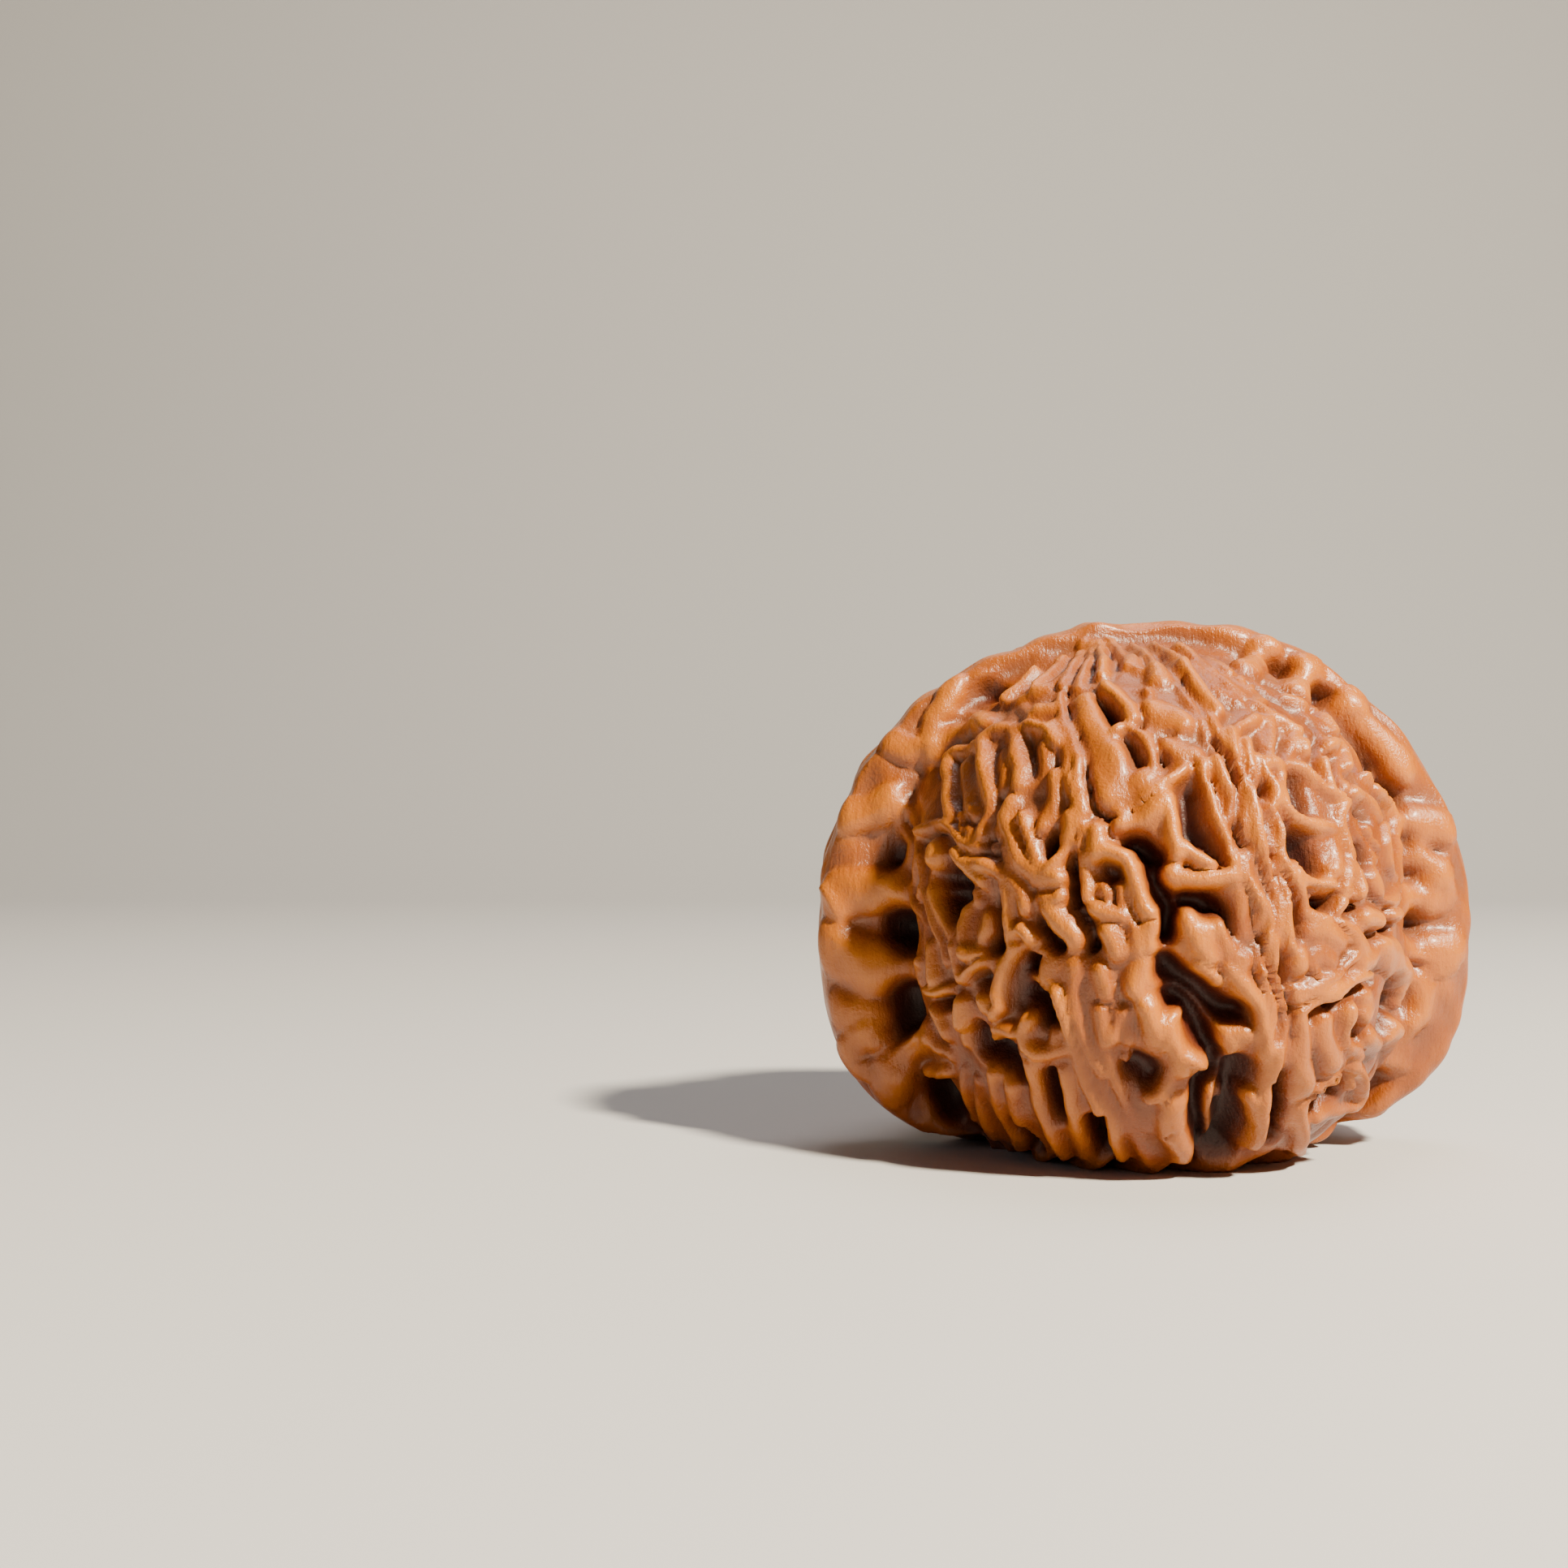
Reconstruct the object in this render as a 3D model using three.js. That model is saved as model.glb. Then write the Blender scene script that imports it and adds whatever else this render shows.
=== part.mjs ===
// Walnut with deep net ridges, kept to be turned in the hand. One solid that grew as one piece.
// Units are millimetres, +Z is up and the table is z = 0. The rim (the raised seam between the two
// halves) stands in the plane y = 0, so +X runs across the rim and the near half lies at -Y.
// The ridges are drawn as strokes, as a draughtsman sees them: each point is [x, z] in the plane of
// the rim, looked at from EYE, and is carried along the line of sight on to the body.
import * as THREE from "three";

const EYE = [-24, -145, 24.2];
const MIDDLE = [0, 0, 15];
// body inside the rim: half-widths, and how far it reaches up and down from MIDDLE
const BELLY = {
  x: 17.2, y: 19.8, up: 19.1, down: 17.6, roundUp: 2.2, roundDown: 2.4, shiftX: 0.2, tilt: 0.05,
};
// rim: outline in its own plane, half-thickness at the crest, and how fast it thickens inward
const RIM = {
  x: 21.6, up: 19.9, down: 15.7, roundUp: 2.1, roundDown: 2.9, tilt: 0.052, half: 2.7, spread: 0.34,
};
// bumps of the rim's outline: where across it, how high and how wide
const TIP = { x: -3.3, rise: 0.4, wide: 1.2 };
const HUMP = { x: 7, rise: 0.45, wide: 4.5 };
const RIM_WAVE = 0.1;
// how softly the rim's faces turn over its crest, and the body meets the rim
const CREST_SOFT = 1.6;
const JOIN_SOFT = 1.0;
// the crest stays free of strokes to this distance from y = 0, and they fade in over the next
const CREST_FREE = 1.0;
const CREST_FADE = 1.6;
// levels against the outermost ridges: open ground, foot of a ridge, grooves under the base
const LEVEL = -1.0;
const DEEPEST = -3.1;
const BASE_DEPTH = -4.2;
// valley where the body meets the rim: its depth, how far the rim's surface stands above the body's
// along its middle line, and how wide it is in the same measure
const VALLEY = { depth: 0.8, at: 0.3, wide: 0.9 };
// strokes reach this far past the half-widths they are drawn with
const STROKE_MARGIN = 0.2;
const HOLLOW_MARGIN = 0.15;
// the grid is coarser than the ridges, so the relief is averaged over this distance
const BLUR = 0.95;
const BLUR_POINTS = 12;
// ribs that run out from the scar under the base
const BASE_RIBS = 15;
const SCAR_RADIUS = 2.2;
// how far the far half's drawing is pulled about, as a share of the radius
const PULL = 0.09;
// squares along one edge of each of the six faces of the grid
const GRID = 31;

// Strokes of the ridges: [half-width, level below the outermost ridges, then points from one end on].
const RIDGES = [
  // crown: left of the seam that runs down from the tip
  [0.45, -0.2, [-5.4, 30.5], [-5.3, 29.3], [-5.0, 28.2], [-4.6, 27.3], [-4.4, 26.3], [-4.2, 25.3]],
  [0.5, -0.2, [-5.9, 28.6], [-5.3, 27.6], [-5.1, 26.4], [-5.0, 25.0], [-4.8, 24.0]],
  [0.85, -0.2, [-6.9, 29.5], [-6.2, 29.6]],
  [0.45, -0.3, [-8.3, 29.9], [-7.7, 29.0]],
  [0.5, -0.3, [-9.3, 30.1], [-8.4, 30.3], [-7.5, 30.6], [-6.5, 31.1], [-5.7, 31.7], [-5.2, 32.1]],
  [0.5, 0.0, [-8.9, 28.3], [-8.0, 28.5], [-7.2, 28.4], [-6.2, 28.0], [-5.6, 27.2]],
  [0.55, 0.0, [-8.7, 28.0], [-8.5, 26.9], [-8.3, 25.7], [-8.2, 24.3]],
  [0.6, 0.0, [-9.3, 28.3], [-10.1, 28.0], [-10.8, 27.3], [-10.9, 26.0], [-10.8, 24.8], [-10.4, 23.5]],
  [0.7, 0.0, [-14.3, 26.3], [-13.4, 27.2], [-12.4, 28.1], [-11.3, 28.6], [-10.5, 28.6]],
  [0.5, -0.1, [-13.3, 26.2], [-12.4, 26.8], [-11.4, 27.0]],
  [0.5, -0.1, [-13.3, 26.0], [-13.3, 24.8], [-13.3, 23.4], [-13.1, 22.2]],
  [0.5, -0.3, [-14.7, 25.9], [-14.4, 25.0], [-14.6, 24.2]],
  [0.5, -0.4, [-14.7, 26.2], [-15.3, 25.2], [-15.9, 24.3]],
  [0.45, -0.5, [-13.0, 28.9], [-11.8, 29.2], [-10.7, 29.2]],
  // crown: the smooth plates right of the seam
  [0.95, 0.0, [-3.9, 30.2], [-3.3, 28.4], [-2.6, 26.8]],
  [1.5, 0.1, [-2.3, 26.4], [-2.0, 25.0], [-1.9, 23.7]],
  [1.1, -0.1, [0.4, 24.9], [-0.5, 24.0], [-1.2, 23.4]],
  [0.65, 0.0, [-2.4, 31.0], [-1.5, 30.4], [-0.7, 29.6], [-0.4, 28.9]],
  [1.3, 0.1, [1.2, 29.6], [2.2, 29.0], [2.6, 28.6]],
  [0.85, 0.1, [1.0, 32.4], [1.4, 31.6]],
  [0.5, -0.2, [-0.6, 33.2], [-0.2, 32.4]],
  [0.5, -0.2, [-2.6, 32.8], [-2.5, 31.9]],
  [0.45, -0.2, [-1.8, 28.1], [-1.1, 28.4], [-0.3, 28.0], [0.4, 27.5], [0.9, 26.6], [1.0, 25.6]],
  [0.8, 0.0, [2.0, 27.0], [2.9, 26.4], [3.8, 26.4]],
  [0.6, 0.1, [2.8, 32.5], [3.6, 31.3], [4.4, 30.3], [5.2, 29.3]],
  [0.55, -0.3, [3.6, 32.8], [4.6, 31.9], [5.5, 31.0], [6.6, 30.4]],
  [0.5, -0.3, [5.0, 32.3], [6.1, 31.4], [7.5, 30.6], [8.6, 30.2]],
  [0.95, -0.4, [2.3, 33.0], [3.2, 31.6], [3.9, 30.0], [4.7, 28.8]],
  [0.9, -0.1, [4.7, 28.8], [5.3, 27.3], [5.9, 26.2], [6.7, 25.1]],
  [0.5, -0.1, [8.1, 30.0], [9.0, 29.3], [9.9, 28.7], [10.8, 28.2]],
  [0.5, 0.0, [6.2, 27.9], [7.0, 28.5], [8.0, 28.9], [8.9, 28.8], [9.2, 28.0], [9.1, 27.0], [8.8, 26.2]],
  [0.45, -0.2, [10.8, 28.0], [10.6, 27.3], [10.3, 26.4], [10.0, 25.4]],
  [0.65, 0.0, [11.2, 27.2], [11.3, 26.7]],
  [0.95, 0.0, [12.8, 28.7], [13.1, 28.2]],
  [0.5, -0.1, [13.0, 27.0], [13.8, 27.1], [14.2, 26.4], [14.4, 25.5]],
  [0.55, 0.0, [12.4, 26.0], [12.7, 25.2], [13.0, 24.2]],
  [0.45, -0.4, [10.0, 30.6], [11.2, 29.9], [12.2, 29.5]],
  // the long ribs that run from the crown down to the table
  [0.5, 0.2, [4.3, 25.8], [4.6, 24.3], [5.0, 23.0], [5.4, 21.8], [5.8, 20.9], [6.1, 20.0], [6.4, 18.9]],
  [0.45, 0.2, [5.0, 25.9], [5.8, 24.4], [6.2, 23.2], [6.5, 22.1]],
  [0.45, 0.3, [5.9, 28.0], [6.2, 26.8], [6.5, 25.3], [6.8, 23.6], [7.2, 22.2], [7.2, 21.0], [7.2, 19.5]],
  [0.5, 0.3, [7.2, 19.5], [7.5, 18.2], [8.1, 17.0], [8.5, 15.8], [8.5, 14.4], [8.4, 12.8], [8.4, 11.4]],
  [0.5, 0.2, [8.4, 11.4], [8.9, 10.2], [9.2, 8.7], [9.3, 7.0], [9.2, 5.4], [9.1, 4.2]],
  [0.55, 0.3, [7.0, 27.2], [7.3, 25.4], [7.6, 23.4], [7.9, 21.8], [8.3, 20.2], [8.9, 18.8], [9.4, 17.4]],
  [0.5, 0.3, [9.4, 17.4], [9.6, 16.0], [9.5, 14.6], [9.2, 13.1], [9.1, 12.0]],
  [0.45, 0.2, [9.1, 12.0], [9.4, 10.4], [9.8, 9.0], [10.0, 7.4], [9.9, 6.0], [9.7, 4.6]],
  [0.6, 0.2, [8.8, 22.4], [9.4, 21.0], [9.7, 19.8], [9.9, 18.6], [10.3, 17.7]],
  [0.5, 0.2, [10.0, 17.6], [10.0, 16.2], [10.0, 14.8], [10.1, 13.4]],
  [0.5, 0.2, [7.8, 26.2], [8.5, 24.9], [9.2, 24.0], [9.1, 23.1]],
  [0.65, 0.2, [8.4, 25.9], [9.4, 25.7]],
  // left of the middle: bulbs, net branches and the fan of folds beside the rim
  [0.8, 0.1, [-8.8, 23.1], [-9.2, 22.2], [-9.1, 21.1], [-8.7, 20.0], [-8.3, 19.1]],
  [0.95, 0.1, [-8.1, 18.8], [-7.3, 18.2], [-6.6, 18.2]],
  [0.6, 0.1, [-7.9, 22.0], [-7.6, 21.0], [-7.3, 20.0], [-6.9, 19.0]],
  [0.6, 0.0, [-5.9, 24.9], [-6.0, 23.8], [-6.1, 22.9], [-6.4, 22.0], [-6.6, 21.3]],
  [0.75, 0.1, [-4.7, 22.1], [-4.8, 21.5], [-5.0, 20.9]],
  [0.55, 0.0, [-4.9, 20.4], [-5.2, 19.6], [-5.8, 18.9], [-6.4, 18.4]],
  [0.65, 0.0, [-7.2, 17.6], [-6.2, 17.7], [-5.5, 17.8]],
  [0.6, 0.0, [-6.9, 16.5], [-6.0, 16.3], [-5.5, 16.6]],
  [0.95, 0.1, [-6.5, 15.7], [-5.9, 15.0], [-5.3, 14.4], [-4.7, 13.8]],
  [0.9, -0.2, [-14.6, 24.4], [-14.9, 23.3], [-14.7, 22.2]],
  [0.95, 0.2, [-14.1, 20.0], [-14.1, 19.4]],
  [0.5, 0.0, [-15.1, 21.2], [-14.2, 21.7], [-13.4, 21.7], [-12.8, 21.0], [-12.2, 20.3], [-11.6, 19.8]],
  [0.6, -0.1, [-11.5, 22.8], [-11.3, 22.4]],
  [0.5, -0.2, [-11.8, 21.3], [-11.5, 21.0]],
  [0.8, -0.2, [-11.7, 20.6], [-11.2, 20.0]],
  [0.5, 0.0, [-10.4, 23.5], [-10.5, 22.5], [-10.9, 21.6], [-10.9, 20.8]],
  [0.55, -0.3, [-9.9, 21.3], [-9.8, 20.7]],
  [0.45, 0.0, [-9.5, 19.9], [-9.2, 19.2], [-9.1, 18.6]],
  [0.6, 0.1, [-12.7, 19.6], [-12.4, 18.9], [-11.8, 18.4], [-11.2, 17.9], [-10.8, 17.5]],
  [0.65, 0.1, [-12.0, 18.9], [-11.0, 18.7], [-9.9, 18.5], [-9.0, 17.8], [-8.3, 16.8], [-7.9, 15.8]],
  [0.5, -0.1, [-9.6, 18.1], [-9.4, 17.0], [-9.2, 16.0], [-9.2, 14.9], [-9.2, 13.8]],
  [0.85, -0.9, [-10.5, 16.9], [-10.4, 16.5]],
  [0.5, 0.0, [-8.3, 14.5], [-7.9, 14.1], [-7.7, 13.8]],
  [0.45, -0.4, [-16.3, 22.6], [-16.1, 21.4], [-15.8, 20.3], [-16.2, 19.2], [-16.6, 18.0], [-16.6, 16.8]],
  [0.5, -0.3, [-15.6, 22.6], [-15.4, 21.3], [-15.3, 20.0], [-15.6, 18.9], [-15.9, 17.4], [-15.9, 16.6]],
  [0.5, -0.3, [-15.9, 16.2], [-15.3, 15.4], [-15.0, 14.6], [-14.9, 13.6]],
  [0.5, -0.2, [-15.2, 17.2], [-14.8, 15.8], [-14.3, 14.6], [-13.8, 13.4], [-13.6, 12.4]],
  [0.65, -0.3, [-14.6, 16.8], [-14.0, 15.5], [-13.5, 14.6], [-13.1, 13.8]],
  [0.75, -0.4, [-12.3, 15.6], [-12.3, 14.6], [-12.1, 13.6]],
  [0.5, -0.2, [-10.7, 15.4], [-10.7, 14.6], [-11.0, 13.8]],
  [0.45, -0.3, [-15.3, 12.2], [-15.6, 11.6], [-15.4, 10.9]],
  [0.8, 0.0, [-14.5, 13.1], [-14.4, 12.2], [-14.2, 11.2]],
  [0.55, 0.0, [-12.9, 13.2], [-12.8, 12.2], [-12.6, 11.2]],
  [0.7, 0.1, [-11.9, 12.9], [-11.2, 12.8]],
  [0.45, 0.0, [-12.3, 11.2], [-11.6, 11.8], [-10.9, 12.3]],
  [0.75, 0.0, [-14.2, 8.8], [-13.9, 8.0], [-13.5, 7.2]],
  [0.45, 0.0, [-14.6, 10.3], [-13.9, 10.2], [-13.3, 10.4]],
  [0.65, 0.1, [-12.5, 9.5], [-12.5, 8.7], [-12.3, 7.9]],
  [0.8, 0.1, [-10.9, 9.5], [-10.8, 9.1]],
  [0.55, 0.0, [-8.9, 13.2], [-9.4, 12.2], [-9.7, 11.1], [-9.8, 10.0], [-9.7, 9.1], [-10.2, 8.4]],
  [0.6, -0.2, [-14.6, 6.9], [-14.0, 6.2], [-13.2, 5.7]],
  [0.5, 0.0, [-14.4, 4.7], [-13.8, 4.6], [-13.3, 4.6]],
  [0.55, 0.0, [-10.2, 7.5], [-9.5, 7.5], [-8.9, 7.4]],
  [0.6, 0.0, [-7.9, 8.2], [-8.2, 7.3], [-7.9, 6.4], [-7.2, 5.9], [-6.3, 5.9], [-5.4, 6.2]],
  [0.6, -0.1, [-6.1, 7.4], [-6.0, 6.7]],
  [0.85, -1.0, [-6.2, 11.8], [-6.1, 11.2]],
  [0.5, -0.3, [-12.3, 4.6], [-12.2, 3.4], [-11.9, 2.6], [-11.5, 1.4]],
  [0.55, -0.2, [-11.5, 3.9], [-11.2, 2.6], [-10.8, 1.4], [-10.2, 0.2]],
  [0.55, -0.2, [-10.3, 4.4], [-10.1, 3.0], [-9.7, 1.6], [-9.0, 0.2], [-8.4, -0.8]],
  [0.65, -0.4, [-9.0, 3.4], [-8.9, 2.2], [-8.4, 1.0]],
  [0.55, -0.2, [-7.6, 5.0], [-7.5, 3.6], [-7.3, 2.2], [-6.6, 1.0], [-5.8, -0.2], [-5.2, -1.4]],
  [0.6, -0.3, [-5.3, 4.6], [-5.0, 3.2], [-5.0, 1.8], [-4.6, 0.2], [-4.0, -1.4]],
  // the middle figure, its long dark cleft and the pillow right of it
  [0.95, 0.1, [-1.0, 21.7], [0.0, 21.9], [1.0, 22.5], [1.8, 23.3]],
  [0.6, 0.1, [2.0, 22.9], [2.3, 21.6], [2.4, 20.5], [2.4, 19.4]],
  [0.45, 0.1, [-1.4, 22.1], [-0.5, 22.7], [0.4, 23.4], [1.3, 24.1], [2.2, 24.8], [3.2, 25.4]],
  [0.75, 0.2, [-3.0, 21.1], [-3.0, 20.3], [-2.9, 19.7]],
  [0.65, 0.2, [-2.6, 20.0], [-1.7, 19.6], [-0.9, 19.4]],
  [0.5, 0.0, [-4.0, 19.6], [-4.0, 18.4], [-3.9, 17.3], [-3.8, 16.3]],
  [0.65, 0.1, [-0.6, 18.8], [-0.5, 17.8], [-0.3, 16.8], [0.0, 16.0], [0.4, 15.6]],
  [0.5, -0.2, [-1.5, 17.4], [-1.4, 16.5], [-1.2, 15.8]],
  [0.5, -0.2, [-2.7, 17.2], [-2.4, 16.6]],
  [0.8, 0.1, [-3.1, 15.8], [-2.2, 15.5], [-1.3, 15.1]],
  [0.95, 0.1, [-2.2, 14.2], [-1.7, 13.4], [-1.4, 12.9]],
  [0.7, 0.1, [-0.6, 14.4], [-0.4, 13.6], [-0.3, 12.9]],
  [0.65, 0.0, [0.4, 14.8], [0.5, 13.9], [0.6, 13.1]],
  [1.0, 0.0, [0.0, 11.8], [-0.1, 11.0], [-0.2, 10.2]],
  [0.8, 0.1, [-2.8, 11.3], [-2.6, 10.7], [-2.4, 10.1]],
  [0.7, 0.0, [-2.8, 9.0], [-2.7, 8.0], [-2.4, 6.9]],
  [1.1, 0.1, [0.4, 8.9], [0.6, 8.0], [0.8, 7.1]],
  [0.55, -0.1, [-1.1, 8.7], [-1.1, 7.8], [-0.9, 6.9]],
  [0.75, 0.0, [1.8, 7.7], [2.2, 6.6], [2.7, 5.6], [2.8, 4.6]],
  [0.5, 0.1, [3.3, 5.6], [3.9, 5.3], [4.4, 5.1]],
  [0.45, -0.2, [2.0, 8.2], [2.5, 8.4]],
  [0.55, -0.2, [2.5, 4.4], [2.0, 3.7], [1.4, 3.0], [0.6, 2.7]],
  [1.0, 0.0, [2.2, 2.6], [2.0, 1.6], [2.2, 0.6], [2.5, -0.4], [2.7, -1.6]],
  [0.8, 0.0, [2.0, 18.2], [2.8, 17.9], [3.8, 17.7], [4.8, 17.8], [5.8, 18.0], [6.6, 18.2]],
  [0.65, 0.0, [2.9, 20.0], [3.4, 19.5], [4.1, 19.1], [4.8, 18.7]],
  [0.75, 0.1, [3.2, 15.2], [3.8, 14.4], [4.2, 13.6]],
  [0.8, 0.1, [4.4, 14.4], [4.6, 13.4], [4.9, 12.6]],
  [0.8, 0.0, [5.5, 14.6], [5.9, 13.4], [6.3, 12.5], [7.0, 12.2]],
  [0.6, -0.4, [6.6, 17.6], [7.0, 16.4], [7.1, 15.2], [7.2, 13.8]],
  [0.5, -0.3, [4.1, 12.0], [4.8, 11.4], [5.3, 11.0]],
  [0.6, 0.1, [6.2, 11.6], [6.9, 10.9], [7.6, 10.0], [8.2, 9.1], [8.6, 8.0], [8.7, 6.8], [8.5, 5.8]],
  [0.5, 0.0, [8.6, 5.3], [8.9, 4.2], [8.8, 3.1], [8.4, 2.0], [8.2, 0.8], [8.0, -0.6]],
  [1.05, -0.5, [6.6, 6.8], [7.4, 7.0]],
  [0.55, -0.3, [7.8, 2.9], [8.1, 2.1], [8.1, 1.2]],
  [0.55, 0.0, [-5.7, 10.1], [-5.4, 8.7], [-5.1, 7.3], [-4.6, 6.0], [-4.1, 4.7], [-3.5, 3.4],
    [-3.0, 2.0]],
  [0.6, -0.2, [-4.5, 12.0], [-4.6, 10.4], [-4.4, 8.8], [-4.0, 7.2], [-3.5, 5.8], [-2.8, 4.5]],
  [0.5, -0.4, [-3.5, 10.4], [-3.5, 9.0], [-3.2, 7.6], [-2.6, 6.2], [-2.0, 5.2]],
  [0.5, -0.5, [-1.9, 4.8], [-1.6, 3.6], [-1.2, 2.2], [-0.6, 0.8], [0.0, -0.6], [0.4, -1.8]],
  [0.5, -0.2, [-2.9, 3.6], [-2.4, 2.0], [-1.8, 0.4], [-1.4, -1.4]],
  // right of the long ribs: the net round its hollows, and the plates below it
  [0.5, 0.0, [9.8, 25.0], [9.8, 24.0], [9.9, 23.0], [10.4, 22.3], [11.2, 21.9], [12.2, 21.6],
    [13.4, 21.3]],
  [0.55, 0.0, [10.3, 25.8], [11.3, 25.4], [12.1, 24.7], [12.9, 24.0], [13.8, 23.5]],
  [0.9, -0.6, [12.9, 22.9], [12.6, 22.5]],
  [0.5, 0.0, [14.2, 23.1], [13.9, 22.3], [14.0, 21.3], [14.4, 20.3], [14.6, 19.3], [14.3, 18.2],
    [14.1, 17.0]],
  [0.75, -0.2, [13.6, 20.5], [13.7, 19.5], [13.5, 18.5]],
  [0.6, 0.0, [10.4, 18.7], [11.2, 17.8], [12.1, 17.3], [13.2, 17.3]],
  [0.5, 0.0, [10.9, 17.4], [11.2, 16.3], [11.3, 15.5], [12.2, 15.2], [13.1, 15.0]],
  [0.5, -0.1, [14.1, 16.9], [14.0, 16.1], [13.6, 15.6]],
  [1.1, 0.1, [11.9, 14.4], [12.9, 14.0], [13.7, 13.4]],
  [0.95, 0.1, [13.8, 14.6], [14.7, 13.9], [15.3, 13.1], [15.7, 12.4]],
  [0.5, 0.0, [14.8, 18.6], [15.0, 17.6], [15.0, 16.8]],
  [0.8, -0.5, [15.5, 21.5], [16.0, 21.2]],
  [0.6, -0.3, [14.3, 24.2], [15.2, 23.8], [16.0, 23.0], [16.6, 22.0]],
  [0.5, 0.0, [15.4, 25.0], [16.2, 23.9], [17.0, 22.9], [17.5, 21.9], [17.6, 20.6], [17.8, 19.2],
    [18.0, 17.8]],
  [0.45, -0.1, [16.9, 21.4], [17.0, 20.2], [17.3, 19.0], [17.7, 18.0]],
  [1.0, -0.1, [16.3, 17.9], [16.6, 17.3]],
  [0.6, -0.1, [17.0, 16.4], [17.8, 16.6]],
  [0.85, 0.1, [15.4, 15.3], [16.2, 14.9]],
  [0.45, -0.2, [17.3, 15.5], [17.9, 15.5]],
  [0.9, 0.0, [10.9, 13.0], [10.9, 11.9]],
  [1.0, 0.0, [12.4, 12.8], [13.0, 12.2]],
  [0.45, 0.1, [10.2, 10.3], [11.2, 10.5], [12.2, 11.0], [13.2, 11.3], [14.0, 11.8], [14.6, 12.5]],
  [0.55, 0.1, [10.2, 9.5], [11.0, 9.7], [11.8, 10.2], [12.8, 10.4], [13.8, 10.6]],
  [0.5, 0.2, [10.9, 8.9], [11.6, 9.4], [12.3, 9.8], [13.1, 10.0], [14.0, 10.6], [14.8, 11.1],
    [15.6, 11.4]],
  [0.8, 0.1, [15.2, 12.1], [15.9, 12.4]],
  [1.0, -0.2, [15.7, 10.0], [15.8, 9.2], [15.5, 8.6]],
  [0.5, 0.0, [14.4, 9.0], [14.3, 8.2], [14.1, 7.3], [14.2, 6.4]],
  [0.9, -0.1, [15.8, 6.9], [16.4, 6.3]],
  [0.55, 0.0, [14.6, 6.2], [15.2, 5.6]],
  [1.0, 0.1, [10.9, 8.2], [11.0, 6.8], [11.1, 5.4], [11.2, 4.0], [10.9, 3.0]],
  [1.1, 0.1, [12.6, 8.2], [12.8, 7.0], [13.1, 6.0], [13.2, 5.3]],
  [0.45, -0.1, [13.6, 4.3], [12.8, 3.8], [12.0, 3.3], [11.2, 2.4]],
  [0.75, 0.0, [11.1, 2.2], [11.2, 1.2], [11.0, 0.2], [10.8, -1.0]],
  [0.55, 0.0, [14.8, 4.9], [15.3, 4.2], [15.3, 3.3], [14.8, 2.5], [14.0, 1.9], [13.0, 1.6], [12.2, 1.4]],
  [0.45, -0.3, [14.5, 4.0], [14.5, 3.5]],
  // walls that cross the valley between the belly and the rim, and the lips on the rim's face
  [0.7, 0.0, [-19.6, 22.2], [-18.5, 22.4], [-17.4, 22.7], [-16.7, 23.0]],
  [1.0, 0.0, [-20.6, 16.8], [-19.2, 16.8], [-18.0, 17.0], [-17.1, 17.2]],
  [1.2, 0.1, [-21.0, 13.2], [-19.8, 12.6], [-18.7, 12.0], [-17.6, 11.8]],
  [0.9, 0.0, [-20.0, 9.0], [-19.2, 8.8]],
  [0.6, 0.0, [-18.5, 7.1], [-19.3, 6.4], [-19.6, 5.6], [-19.0, 4.9]],
  [0.9, 0.0, [-17.2, 4.1], [-17.0, 3.5]],
  [0.5, -0.2, [-16.3, 4.6], [-15.8, 5.4], [-15.3, 6.3], [-14.9, 7.3]],
  [0.5, 0.0, [-17.4, 27.3], [-16.4, 26.8], [-15.6, 26.5]],
  [0.5, 0.0, [-12.9, 31.0], [-13.2, 29.7], [-13.9, 28.4], [-14.2, 27.2]],
  [0.5, 0.0, [7.3, 32.6], [8.2, 33.0], [8.7, 33.6]],
  [0.6, 0.0, [11.3, 32.3], [11.1, 31.4], [10.8, 30.8]],
  [0.5, 0.0, [14.6, 30.0], [13.8, 29.5]],
  [0.6, 0.0, [14.4, 29.1], [15.2, 28.0], [16.0, 27.1], [16.8, 26.2], [17.6, 25.2]],
  [0.8, 0.0, [20.2, 21.4], [19.2, 21.4], [18.3, 21.5]],
  [0.6, 0.0, [18.5, 19.2], [19.4, 18.6], [20.3, 18.2]],
  [0.9, 0.0, [20.2, 16.8], [19.2, 16.6], [18.4, 16.8]],
  [0.8, 0.0, [20.6, 12.7], [19.5, 12.9], [18.6, 13.0]],
  [0.8, 0.1, [16.6, 13.2], [17.3, 12.6], [17.7, 12.0]],
  [0.55, 0.1, [18.0, 11.8], [18.6, 10.9], [18.9, 9.9], [18.7, 8.8], [18.2, 7.9]],
  [0.5, -0.3, [18.0, 9.8], [17.9, 9.3]],
  [0.7, 0.0, [17.4, 7.6], [17.5, 6.6], [17.2, 5.6]],
];

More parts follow.
